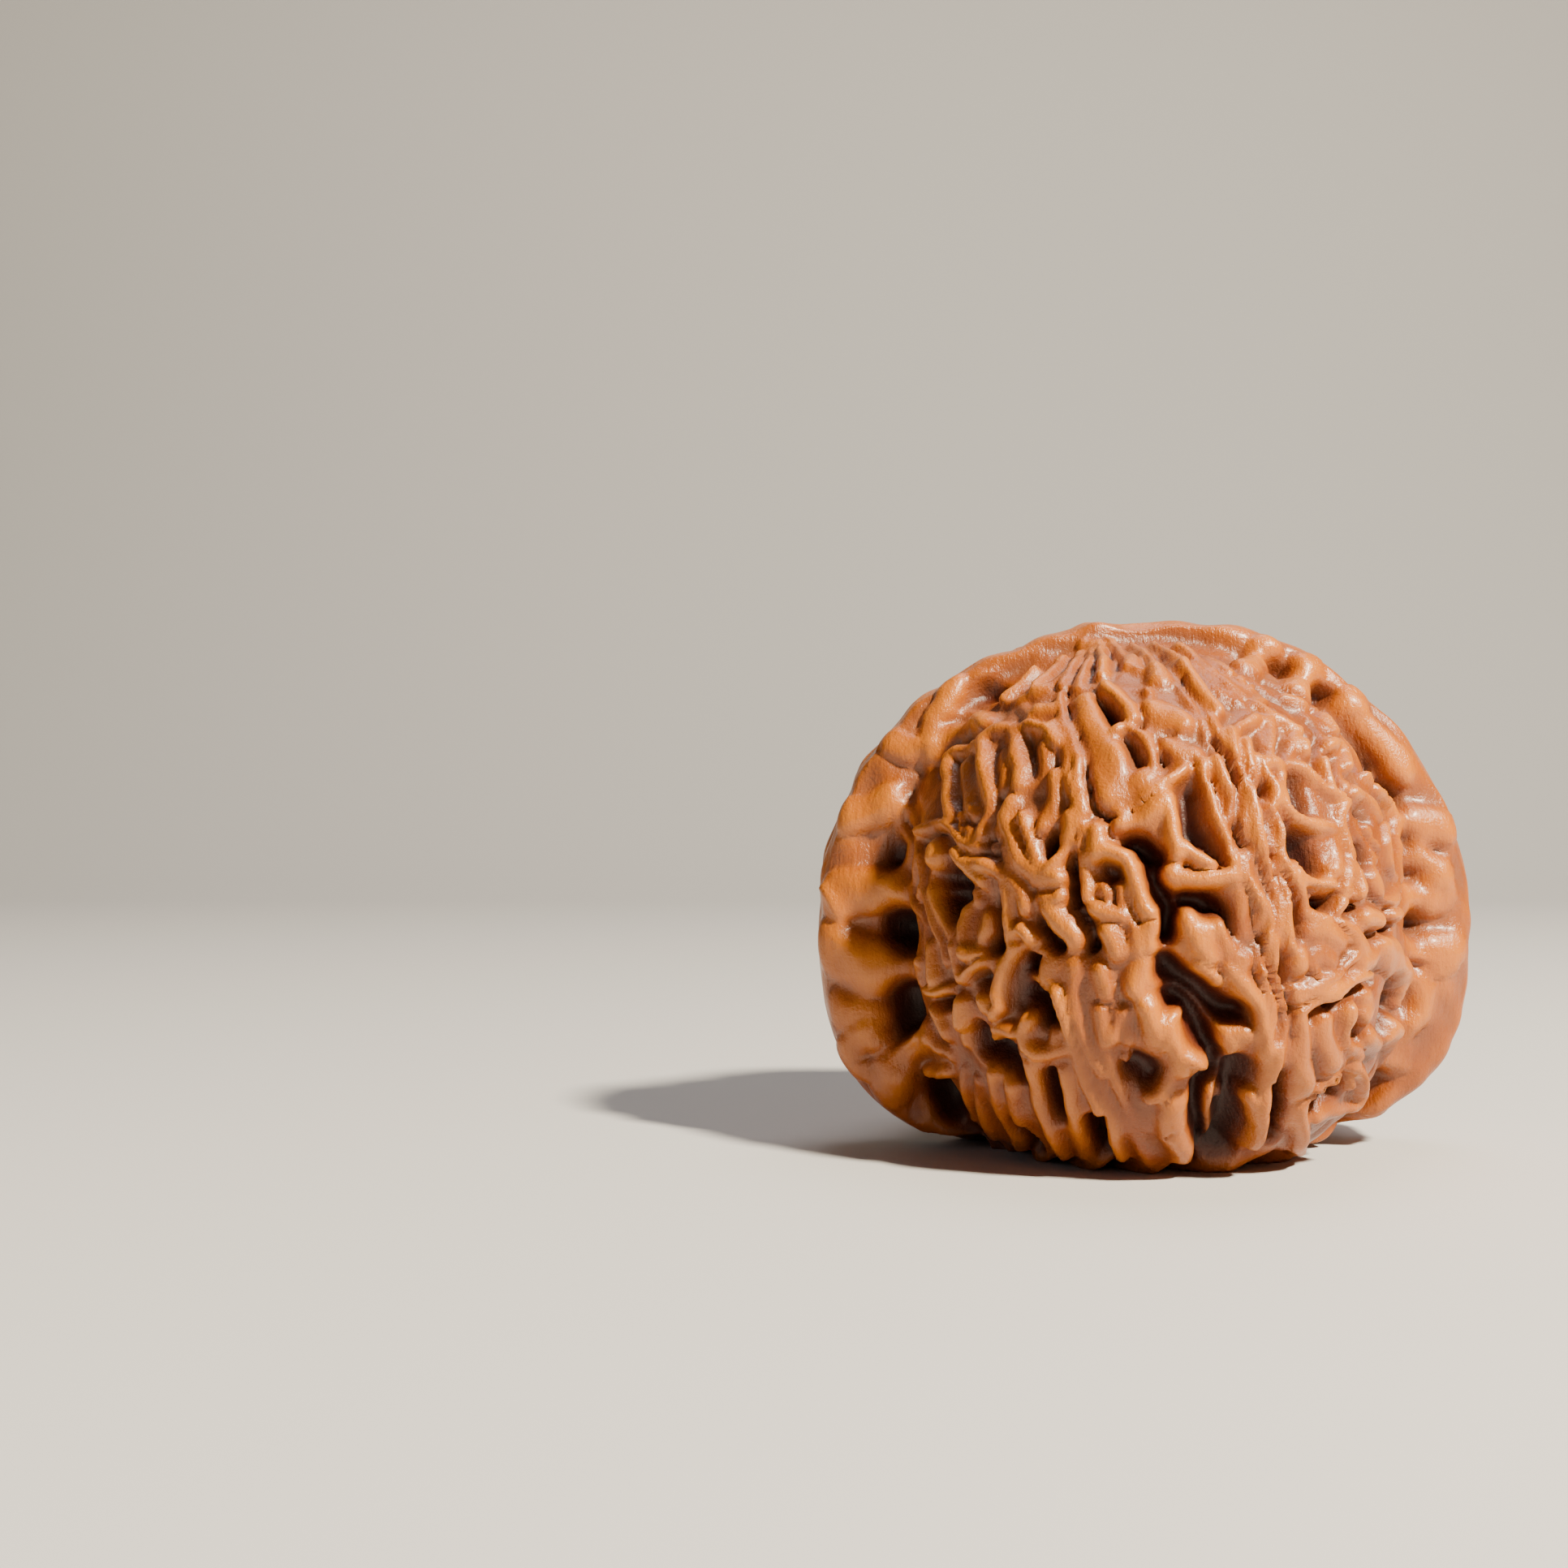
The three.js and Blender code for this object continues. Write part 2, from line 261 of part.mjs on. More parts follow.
// Hollows: [half-width, extra depth, then points].
const HOLLOWS = [
  // belly, from the crown down
  [0.45, 1.8, [-2.8, 30.3], [-2.2, 29.7], [-1.6, 28.9], [-1.3, 28.5]],
  [0.4, 1.4, [0.0, 29.4], [-0.1, 28.4]],
  [0.55, 1.2, [-0.7, 27.7], [-0.1, 26.4], [0.4, 25.2]],
  [0.5, 1.2, [1.3, 27.0], [1.6, 26.2]],
  [0.5, 1.8, [-7.9, 27.6], [-7.6, 26.2], [-7.2, 24.9]],
  [0.8, 0.6, [-6.6, 26.6], [-6.5, 25.2], [-6.9, 23.9]],
  [0.4, 1.8, [-9.7, 26.8], [-9.5, 25.6], [-9.5, 24.3], [-9.6, 23.6]],
  [0.8, 0.9, [-12.1, 25.6], [-12.1, 24.4]],
  [0.4, 1.2, [-12.7, 23.4], [-12.6, 22.2]],
  [0.6, 0.7, [7.4, 27.2], [7.5, 26.9]],
  [0.6, 0.8, [9.6, 27.4], [9.7, 26.6]],
  [1.0, 1.5, [10.9, 24.6], [11.0, 23.6], [11.2, 22.9]],
  [0.5, 1.2, [13.4, 26.5], [13.3, 25.2], [13.5, 24.6]],
  [0.45, 1.0, [7.9, 24.3], [8.5, 23.4]],
  [1.1, 1.4, [3.4, 24.0], [3.3, 22.8], [3.3, 21.6], [3.9, 20.8]],
  [0.6, 1.0, [4.6, 20.4], [5.2, 19.4], [5.7, 18.8]],
  [1.2, 1.6, [11.2, 20.3], [11.6, 19.4], [11.8, 18.6]],
  [0.85, 1.5, [12.7, 16.2], [13.3, 16.1]],
  [0.5, 1.0, [10.6, 16.4], [10.6, 15.2], [10.7, 14.0], [10.9, 13.4]],
  [0.6, 0.9, [15.5, 22.3], [15.8, 22.0]],
  [0.8, 1.2, [15.7, 19.8], [15.8, 19.1]],
  [0.3, 1.6, [13.5, 15.3], [14.4, 15.9], [15.4, 16.5]],
  [0.4, 1.9, [-6.1, 21.0], [-6.0, 20.0], [-6.0, 19.3]],
  [0.6, 1.0, [-10.6, 20.6], [-10.3, 19.8]],
  [0.9, 1.0, [-2.1, 18.7], [-2.0, 18.1]],
  [0.45, 1.9, [-4.6, 19.4], [-4.6, 17.9], [-4.5, 16.4], [-4.2, 15.4], [-3.8, 14.2], [-3.4, 13.2]],
  [0.75, 2.0, [-0.7, 20.5], [0.3, 20.1], [0.9, 19.4], [1.0, 18.2], [1.2, 17.2], [1.8, 16.2],
    [1.9, 15.2], [1.8, 14.2]],
  [0.9, 1.9, [3.2, 16.7], [4.4, 16.3], [5.2, 15.9], [5.8, 15.0], [6.1, 14.2]],
  [1.3, 2.0, [-13.5, 17.9], [-12.9, 17.0]],
  [1.0, 1.8, [-13.6, 16.6], [-13.2, 15.9]],
  [0.5, 1.8, [-10.0, 16.4], [-9.8, 15.0], [-9.8, 13.9], [-10.2, 13.3]],
  [0.4, 1.8, [-7.3, 15.6], [-7.0, 14.5], [-6.5, 13.8], [-5.8, 13.2]],
  [0.9, 1.0, [-11.4, 11.4], [-10.9, 10.8]],
  [0.8, 0.8, [-8.5, 11.8], [-8.5, 10.4], [-8.6, 9.2]],
  [0.7, 2.0, [-7.5, 12.6], [-7.7, 11.9]],
  [1.1, 2.0, [-7.6, 10.0], [-6.8, 9.2], [-6.5, 8.4]],
  [1.1, 2.0, [1.8, 11.8], [2.8, 11.0], [4.0, 10.2], [5.0, 9.3], [6.2, 8.6], [7.4, 8.5]],
  [1.2, 2.0, [2.4, 9.6], [3.6, 8.6], [4.4, 7.3]],
  [1.0, 2.0, [4.4, 7.2], [5.2, 5.6], [5.4, 4.2], [4.4, 3.4]],
  [1.5, 2.0, [6.8, 4.3], [6.6, 3.0], [6.4, 1.6], [6.0, -0.5], [5.4, -1.6]],
  [0.6, 2.0, [3.9, 3.0], [3.9, 1.6], [4.1, 0.0], [4.2, -1.6]],
  [0.5, 2.0, [9.7, 4.6], [9.6, 3.2], [9.6, 1.6], [9.4, -0.4]],
  [0.5, 1.9, [12.0, 8.4], [12.4, 9.1], [13.0, 9.5]],
  [0.4, 1.9, [13.2, 9.2], [14.3, 9.9], [15.3, 10.5], [16.1, 11.1]],
  [1.0, 2.0, [13.8, 3.3], [13.0, 2.8], [12.5, 2.4]],
  [0.6, 1.4, [14.8, 7.6], [15.1, 7.0]],
  [0.4, 1.9, [15.9, 14.1], [16.6, 14.0], [17.4, 14.7]],
  [1.2, 1.4, [-0.6, 5.0], [0.4, 4.4], [0.7, 3.8]],
  [1.5, 2.0, [-13.6, 2.9], [-13.4, 1.6]],
  [0.8, 2.0, [-11.5, 7.2], [-11.2, 6.0], [-10.4, 5.6], [-9.4, 5.9]],
  [0.9, 2.0, [-10.2, 5.2], [-9.0, 4.9], [-8.6, 4.2]],
  [0.7, 2.0, [-8.9, 0.6], [-7.7, -0.4], [-7.2, -1.2]],
  [0.7, 2.0, [-6.2, 4.0], [-6.2, 2.6], [-5.9, 1.2]],
  [0.8, 2.0, [-3.4, 0.8], [-2.8, -0.6], [-2.4, -1.6]],
  [0.6, 2.0, [-14.0, 9.5], [-13.5, 9.5]],
  // cells on the rim's face
  [0.8, 1.0, [-14.4, 29.9], [-13.6, 30.2]],
  [0.7, 1.0, [-15.0, 28.4], [-14.8, 28.0]],
  [0.7, 1.0, [-16.6, 26.0], [-16.3, 25.6]],
  [0.8, 1.0, [-10.9, 30.9], [-9.6, 30.8]],
  [1.1, 1.0, [-18.4, 24.3], [-18.3, 23.6]],
  [1.5, 2.0, [-18.0, 20.4], [-17.9, 19.4]],
  [1.5, 2.0, [-18.6, 14.7], [-17.2, 14.4], [-16.3, 14.0]],
  [1.5, 2.0, [-17.0, 10.0], [-16.6, 9.0], [-16.6, 7.8]],
  [0.8, 1.0, [-19.8, 10.5], [-19.6, 10.2]],
  [0.6, 1.6, [-18.8, 6.4], [-18.5, 6.0]],
  [0.7, 1.6, [-18.1, 4.7], [-17.8, 4.5]],
  [1.0, 2.0, [-15.6, 2.9], [-15.0, 1.9]],
  [0.6, 1.0, [6.3, 33.3], [7.6, 33.0]],
  [0.6, 1.4, [8.6, 32.5], [10.0, 32.0]],
  [0.6, 1.4, [11.4, 30.9], [13.0, 30.3]],
  [0.9, 0.8, [13.6, 28.8], [14.5, 27.6], [15.4, 26.0]],
  [0.9, 1.8, [17.3, 23.8], [18.5, 23.6]],
  [0.8, 1.2, [19.4, 19.8], [19.9, 19.6]],
  [0.8, 1.2, [18.6, 18.2], [19.0, 17.8]],
  [0.8, 1.2, [19.2, 15.3], [20.3, 15.0]],
  [1.0, 1.6, [17.6, 10.6], [17.3, 9.4], [17.8, 8.8], [17.2, 8.0]],
  [0.6, 1.6, [16.2, 4.5], [16.1, 4.2]],
];

const clamp01 = (t) => Math.min(1, Math.max(0, t));
const smooth = (t) => clamp01(t) ** 2 * (3 - 2 * clamp01(t));
const mix = (a, b, t) => a + (b - a) * t;

function softMax(a, b, soft) {
  const t = Math.max(soft - Math.abs(a - b), 0) / soft;
  return Math.max(a, b) + t * t * soft * 0.25;
}

// Superellipse whose lower half is squarer than its upper half.
function ovalRadius(flat, up, size) {
  const round = up > 0 ? size.roundUp : size.roundDown;
  const reach = up > 0 ? size.up : size.down;
  return (flat ** round + Math.abs(up / reach) ** round) ** (-1 / round);
}

function turned(x, z, angle) {
  return [x * Math.cos(angle) + z * Math.sin(angle), z * Math.cos(angle) - x * Math.sin(angle)];
}

function bellyRadius([dx, dy, dz]) {
  const [x, z] = turned(dx, dz, BELLY.tilt);
  const radius = ovalRadius(Math.hypot(x / BELLY.x, dy / BELLY.y), z, BELLY);
  return radius + BELLY.shiftX * dx;
}

function rimOutline(dx, dz) {
  const flat = Math.max(Math.hypot(dx, dz), 1e-6);
  const [x, z] = turned(dx / flat, dz / flat, RIM.tilt);
  const radius = ovalRadius(Math.abs(x) / RIM.x, z, RIM);
  const across = dx / flat * radius;
  const bump = ({ x: at, rise, wide }) => rise * Math.exp(-(((across - at) / wide) ** 2));
  const wave = RIM_WAVE * Math.sin(across * 1.1 + 2) * Math.sin(across * 0.37 + z * 5);
  return radius + wave + (dz > 0 ? bump(TIP) + bump(HUMP) : 0);
}

function rimRadius([dx, dy, dz]) {
  const flat = Math.max(Math.hypot(dx, dz), 1e-6);
  const outline = rimOutline(dx, dz);
  const side = (RIM.half + RIM.spread * outline) / (Math.abs(dy) + RIM.spread * flat);
  return -softMax(-side, -outline / flat, CREST_SOFT);
}

function envelopeRadius(d) {
  return softMax(bellyRadius(d), rimRadius(d), JOIN_SOFT);
}

function envelopePoint(d) {
  const radius = envelopeRadius(d);
  return MIDDLE.map((m, i) => m + d[i] * radius);
}

function unit(v) {
  const length = Math.hypot(...v);
  return v.map((c) => c / length);
}

const minus = (a, b) => a.map((c, i) => c - b[i]);
const dot = (a, b) => a[0] * b[0] + a[1] * b[1] + a[2] * b[2];
const cross = (a, b) => [0, 1, 2].map((i) => {
  const [j, k] = [(i + 1) % 3, (i + 2) % 3];
  return a[j] * b[k] - a[k] * b[j];
});

// Where the line from EYE through [x, z] of the rim's plane meets the body.
function onBody([x, z]) {
  const line = minus([x, 0, z], EYE);
  const at = (t) => EYE.map((e, i) => e + line[i] * t);
  for (let t = 0.84; t < 1.06; t += 0.001) {
    const from = minus(at(t), MIDDLE);
    if (Math.hypot(...from) < envelopeRadius(unit(from))) return { point: at(t), scale: t };
  }
  return { point: at(1), scale: 1 };
}

// Cuts a stroke into straight pieces on the body.
function piecesOf([half, level, ...points], margin) {
  const spots = points.map(onBody);
  return spots.slice(1).map((spot, i) => {
    const from = spots[i].point;
    const along = minus(spot.point, from);
    const width = half * spot.scale + margin;
    const middle = from.map((c, k) => c + along[k] / 2);
    return { from, along, middle, width, level, far: Math.hypot(...along) / 2 + width };
  });
}

const ridgePieces = RIDGES.flatMap((stroke) => piecesOf(stroke, STROKE_MARGIN));
const hollowPieces = HOLLOWS.flatMap((stroke) => piecesOf(stroke, HOLLOW_MARGIN));

// Distance from a stroke's middle line, 1 at its edge.
function reach([x, y, z], { from, along, middle, width, far }) {
  if ((x - middle[0]) ** 2 + (y - middle[1]) ** 2 + (z - middle[2]) ** 2 > far * far) return 1;
  const off = [x - from[0], y - from[1], z - from[2]];
  const t = clamp01(dot(off, along) / Math.max(dot(along, along), 1e-9));
  return Math.hypot(off[0] - along[0] * t, off[1] - along[1] * t, off[2] - along[2] * t) / width;
}

// Height of the drawn relief in a direction of the near half. A valley runs round beside the rim.
function reliefAt(d) {
  const p = envelopePoint(d);
  const above = rimRadius(d) - bellyRadius(d);
  const ground = LEVEL - VALLEY.depth * Math.exp(-(((above - VALLEY.at) / VALLEY.wide) ** 2));
  let floor = ground;
  for (const piece of hollowPieces) {
    const q = reach(p, piece);
    if (q < 1) floor = Math.min(floor, ground - piece.level * (1 - q * q));
  }
  let height = floor;
  for (const piece of ridgePieces) {
    const q = reach(p, piece);
    if (q < 1) height = Math.max(height, mix(DEEPEST, piece.level, Math.sqrt(1 - q ** 3)));
  }
  return height;
}

// Ribs under the base run out from the scar in the middle.
function baseReliefAt([x, y]) {
  const away = Math.hypot(x, y);
  const turn = Math.atan2(y, x) + 0.12 * Math.sin(away * 0.9);
  const rib = Math.abs(Math.cos(turn * BASE_RIBS / 2 + Math.sin(turn * 3)));
  const ring = smooth((away - SCAR_RADIUS) / 1.2);
  return mix(BASE_DEPTH, mix(BASE_DEPTH, 0, rib ** 0.6), ring);
}

// The far half carries the same drawing, turned half round and pulled about so that it differs.
function nearHalfDirection([x, y, z]) {
  if (y <= 0) return [x, y, z];
  const pull = smooth(y / 0.35) * PULL;
  return unit([pull * Math.sin(z * 5.2 + 1.0) - x, -y, z + pull * Math.sin(x * 4.7 + 0.6)]);
}

function heightAt(d, out) {
  const p = envelopePoint(d);
  const offCrest = smooth((Math.abs(p[1]) - CREST_FREE) / CREST_FADE);
  const underneath = smooth((-out[2] - 0.8) / 0.12);
  const drawn = reliefAt(nearHalfDirection(d)) * offCrest;
  return mix(drawn, baseReliefAt(p) * mix(0.4, 1, offCrest), underneath);
}

function surfacePoint(d) {
  const step = 0.012;
  const side = unit(cross(d, Math.abs(d[2]) < 0.8 ? [0, 0, 1] : [0, 1, 0]));
  const lift = cross(side, d);
  const shifted = (a, b) => unit(d.map((c, i) => c + side[i] * a + lift[i] * b));
  const slopeA = minus(envelopePoint(shifted(step, 0)), envelopePoint(shifted(-step, 0)));
  const slopeB = minus(envelopePoint(shifted(0, step)), envelopePoint(shifted(0, -step)));
  const normal = unit(cross(slopeB, slopeA));
  const out = dot(normal, d) > 0 ? normal : normal.map((c) => -c);
  const p = envelopePoint(d);
  const perSide = BLUR / Math.hypot(...slopeA) * step * 2;
  const perLift = BLUR / Math.hypot(...slopeB) * step * 2;
  let height = heightAt(d, out);
  for (let i = 0; i < BLUR_POINTS; i += 1) {
    const turn = i * Math.PI * 2 / BLUR_POINTS;
    const away = i % 2 ? 1 : 0.55;
    const beside = shifted(Math.cos(turn) * perSide * away, Math.sin(turn) * perLift * away);
    height += heightAt(beside, out);
  }
  const moved = p.map((c, i) => c + out[i] * height / (BLUR_POINTS + 1));
  return [moved[0], moved[1], Math.max(moved[2], 0)];
}

// Grid points of a cube's faces, pushed out to directions and drawn closer together near the rim.
function directionOf(point) {
  const angle = (c) => Math.tan((c / GRID * 2 - 1) * Math.PI / 4);
  const [x, y, z] = unit(point.map(angle));
  return unit([x, y * (0.66 + 0.34 * y * y), z]);
}

function walnutGeometry() {
  const numbers = new Map();
  const positions = [];
  const triangles = [];
  const vertex = (point) => {
    const key = point.join(",");
    if (!numbers.has(key)) {
      numbers.set(key, numbers.size);
      positions.push(...surfacePoint(directionOf(point)));
    }
    return numbers.get(key);
  };
  for (let axis = 0; axis < 3; axis += 1) {
    for (const level of [0, GRID]) {
      for (let i = 0; i < GRID; i += 1) {
        for (let j = 0; j < GRID; j += 1) {
          const at = (a, b) => {
            const point = [a, b];
            point.splice(axis, 0, level);
            return vertex(point);
          };
          const corners = [at(i, j), at(i + 1, j), at(i + 1, j + 1), at(i, j + 1)];
          const outward = (level === 0) === (axis === 1);
          const [a, b, c, e] = outward ? corners : [...corners].reverse();
          triangles.push(a, b, c, a, c, e);
        }
      }
    }
  }
  const geometry = new THREE.BufferGeometry();
  geometry.setAttribute("position", new THREE.Float32BufferAttribute(positions, 3));
  geometry.setIndex(triangles);
  geometry.computeVertexNormals();
  return geometry;
}

const shell = new THREE.MeshStandardMaterial({ color: 0xb8713a, roughness: 0.4, metalness: 0 });
const walnut = new THREE.Mesh(walnutGeometry(), shell);
walnut.name = "walnut";

const group = new THREE.Group();
group.add(walnut);

export default group;
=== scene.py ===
"""A walnut with deep net ridges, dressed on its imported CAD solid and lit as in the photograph.

The relief is drawn as strokes in millimetres. Each point is [x, z] in the plane of the rim, looked at
from EYE, and is carried along the line of sight on to the body, as in the CAD source.
"""
import math

import bpy
import numpy as np
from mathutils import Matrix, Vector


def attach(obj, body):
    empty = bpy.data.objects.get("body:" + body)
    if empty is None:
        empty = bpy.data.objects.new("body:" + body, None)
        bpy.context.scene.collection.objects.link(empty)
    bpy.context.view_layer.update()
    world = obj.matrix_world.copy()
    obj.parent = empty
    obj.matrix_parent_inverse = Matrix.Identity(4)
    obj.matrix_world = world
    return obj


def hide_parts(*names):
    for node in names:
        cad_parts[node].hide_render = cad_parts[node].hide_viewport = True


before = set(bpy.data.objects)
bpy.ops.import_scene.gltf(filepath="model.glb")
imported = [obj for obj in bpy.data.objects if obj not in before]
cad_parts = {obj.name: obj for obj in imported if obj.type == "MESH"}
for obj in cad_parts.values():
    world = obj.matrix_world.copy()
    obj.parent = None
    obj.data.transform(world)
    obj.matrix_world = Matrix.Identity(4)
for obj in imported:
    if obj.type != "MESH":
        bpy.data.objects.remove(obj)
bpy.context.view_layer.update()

MM = 0.001
# the camera's place, its focal length and frame width, and the middle of the nut's body
EYE = np.array([-24.0, -145.0, 24.2])
FOCAL_LENGTH = 49.45
FRAME_WIDTH = 36
MIDDLE = np.array([0.0, 0.0, 15.0])
# body inside the rim: half-widths, and how far it reaches up and down from MIDDLE
BELLY = dict(x=17.2, y=19.3, up=19.1, down=17.6, round_up=2.2, round_down=2.4, shift=0.2, tilt=0.05)
# rim: outline in its own plane, half-thickness at the crest, and how fast it thickens inward
RIM = dict(x=21.6, up=19.9, down=15.7, round_up=2.1, round_down=2.9, tilt=0.052, half=2.7, spread=0.34)
# bumps of the rim's outline: where across it, how high and how wide
RIM_BUMPS = [(-3.3, 0.4, 1.2), (7.0, 0.45, 4.5)]
RIM_WAVE = 0.1
# how softly the rim's faces turn over its crest, and the body meets the rim
CREST_SOFT = 1.6
JOIN_SOFT = 1.0
# the crest stays free of strokes to this distance from y = 0, and they fade in over the next
CREST_FREE = 1.0
CREST_FADE = 1.6

# levels against the outermost ridges: open ground, ground on the rim's face, grooves under the base,
# and the level at which the painted shade in the pits is darkest
LEVEL = -0.75
RIM_LEVEL = -0.3
BASE_DEPTH = -4.2
DARKEST = -3.3
# valley where the body meets the rim: its depth, how far the rim's surface stands above the body's
# along its middle line, and how wide it is in the same measure
VALLEY = dict(depth=0.7, at=0.3, wide=0.7)
# fine wrinkles that run from tip to base: height, and the wave's turn per millimetre round the nut
WRINKLE = 0.09
WRINKLE_PITCH = 2.6
# groove where the two halves meet on the rim's crest
SEAM_DEPTH = 0.25
SEAM_HALF = 0.3
# how far a ridge's foot is sunk into the ground beside it
FOOT = 0.4
# strokes are laid this much wider than drawn, and reach this much further to each side
SPREAD = 1.17
STROKE_MARGIN = 0.15
RIM_MARGIN = 0.55
HOLLOW_MARGIN = 0.15
# how softly ridges join, ridges on the rim join, and hollows sink into the ground
RIDGE_SOFT = 0.3
RIM_SOFT = 1.4
HOLLOW_SOFT = 0.5
# height above the ground at which a hollow's wall starts
HOLLOW_LIP = 0.3
# hollows on the rim's face and on the crown keep this share of their depth
RIM_HOLLOWS = 0.3
CROWN_HOLLOWS = 0.55
# the crown's share sets in at this height above the table, over this rise
CROWN_FROM = 20
CROWN_OVER = 6
# how far the drawing wanders, in slow and in quick turns
WANDER = 0.14
QUIVER = 0.03
# how uneven the ground and the ridges are, and over what distance
GROUND_LUMPS = 0.2
RIDGE_LUMPS = 0.22
LUMP_PITCH = 1.5
# how far the far half's drawing is pulled about, as a share of the radius
PULL = 0.09
# ribs that run out from the scar under the base
BASE_RIBS = 15
SCAR_RADIUS = 2.2
# squares along one edge of each of the six faces of the grid
GRID = 127

# colours of the shell, from the ridges down to the level DARKEST: the shell's own darker brown in the
# pits, deepened towards black by painted shade
SHELL_AND_PIT_SHADE_RAMP = [
    (0.0, (0.43, 0.118, 0.008)),
    (0.22, (0.29, 0.066, 0.004)),
    (0.42, (0.14, 0.027, 0.004)),
    (0.7, (0.075, 0.014, 0.002)),
    (1.0, (0.022, 0.005, 0.002)),
]
# painted highlight: the lighter colour laid on the ridges' tops
CREST_HIGHLIGHT_COLOR = (0.66, 0.215, 0.014, 1)
# paler pinkish brown laid in shallow grooves
SHALLOW_GROOVE_COLOR = (0.36, 0.140, 0.055, 1)
# what the colour is multiplied by: painted shade in small grooves and towards the base, and the grain
# along the fibres
GROOVE_SHADE_TINT = (0.42, 0.20, 0.10, 1)
BASE_SHADE_TINT = (0.45, 0.27, 0.14, 1)
FIBRE_TINT = (0.72, 0.58, 0.46, 1)
# height up to which painted shade darkens the shell towards the base
DARK_BELOW = 0.012

# floor and backdrop in metres, from the nut's place
FLOOR = dict(across=4.0, near=-4.0, far=0.55, high=2.5, bend=0.25, color=(0.60, 0.60, 0.60))
# round lights: name, place, width, watts and colour; all point at AIM
LIGHTS = [
    ("key", (0.26, -0.27, 0.37), 0.05, 9.6, (1.0, 0.87, 0.67)),
    ("top", (0.06, 0.14, 0.5), 0.30, 1.0, (1.0, 0.93, 0.92)),
    ("left", (-0.42, -0.12, 0.16), 0.25, 0.08, (0.95, 0.93, 1.0)),
]
AIM = (0, 0, 0.016)
ROOM_COLOR = (0.9, 0.93, 1.0, 1)
ROOM_STRENGTH = 0.03

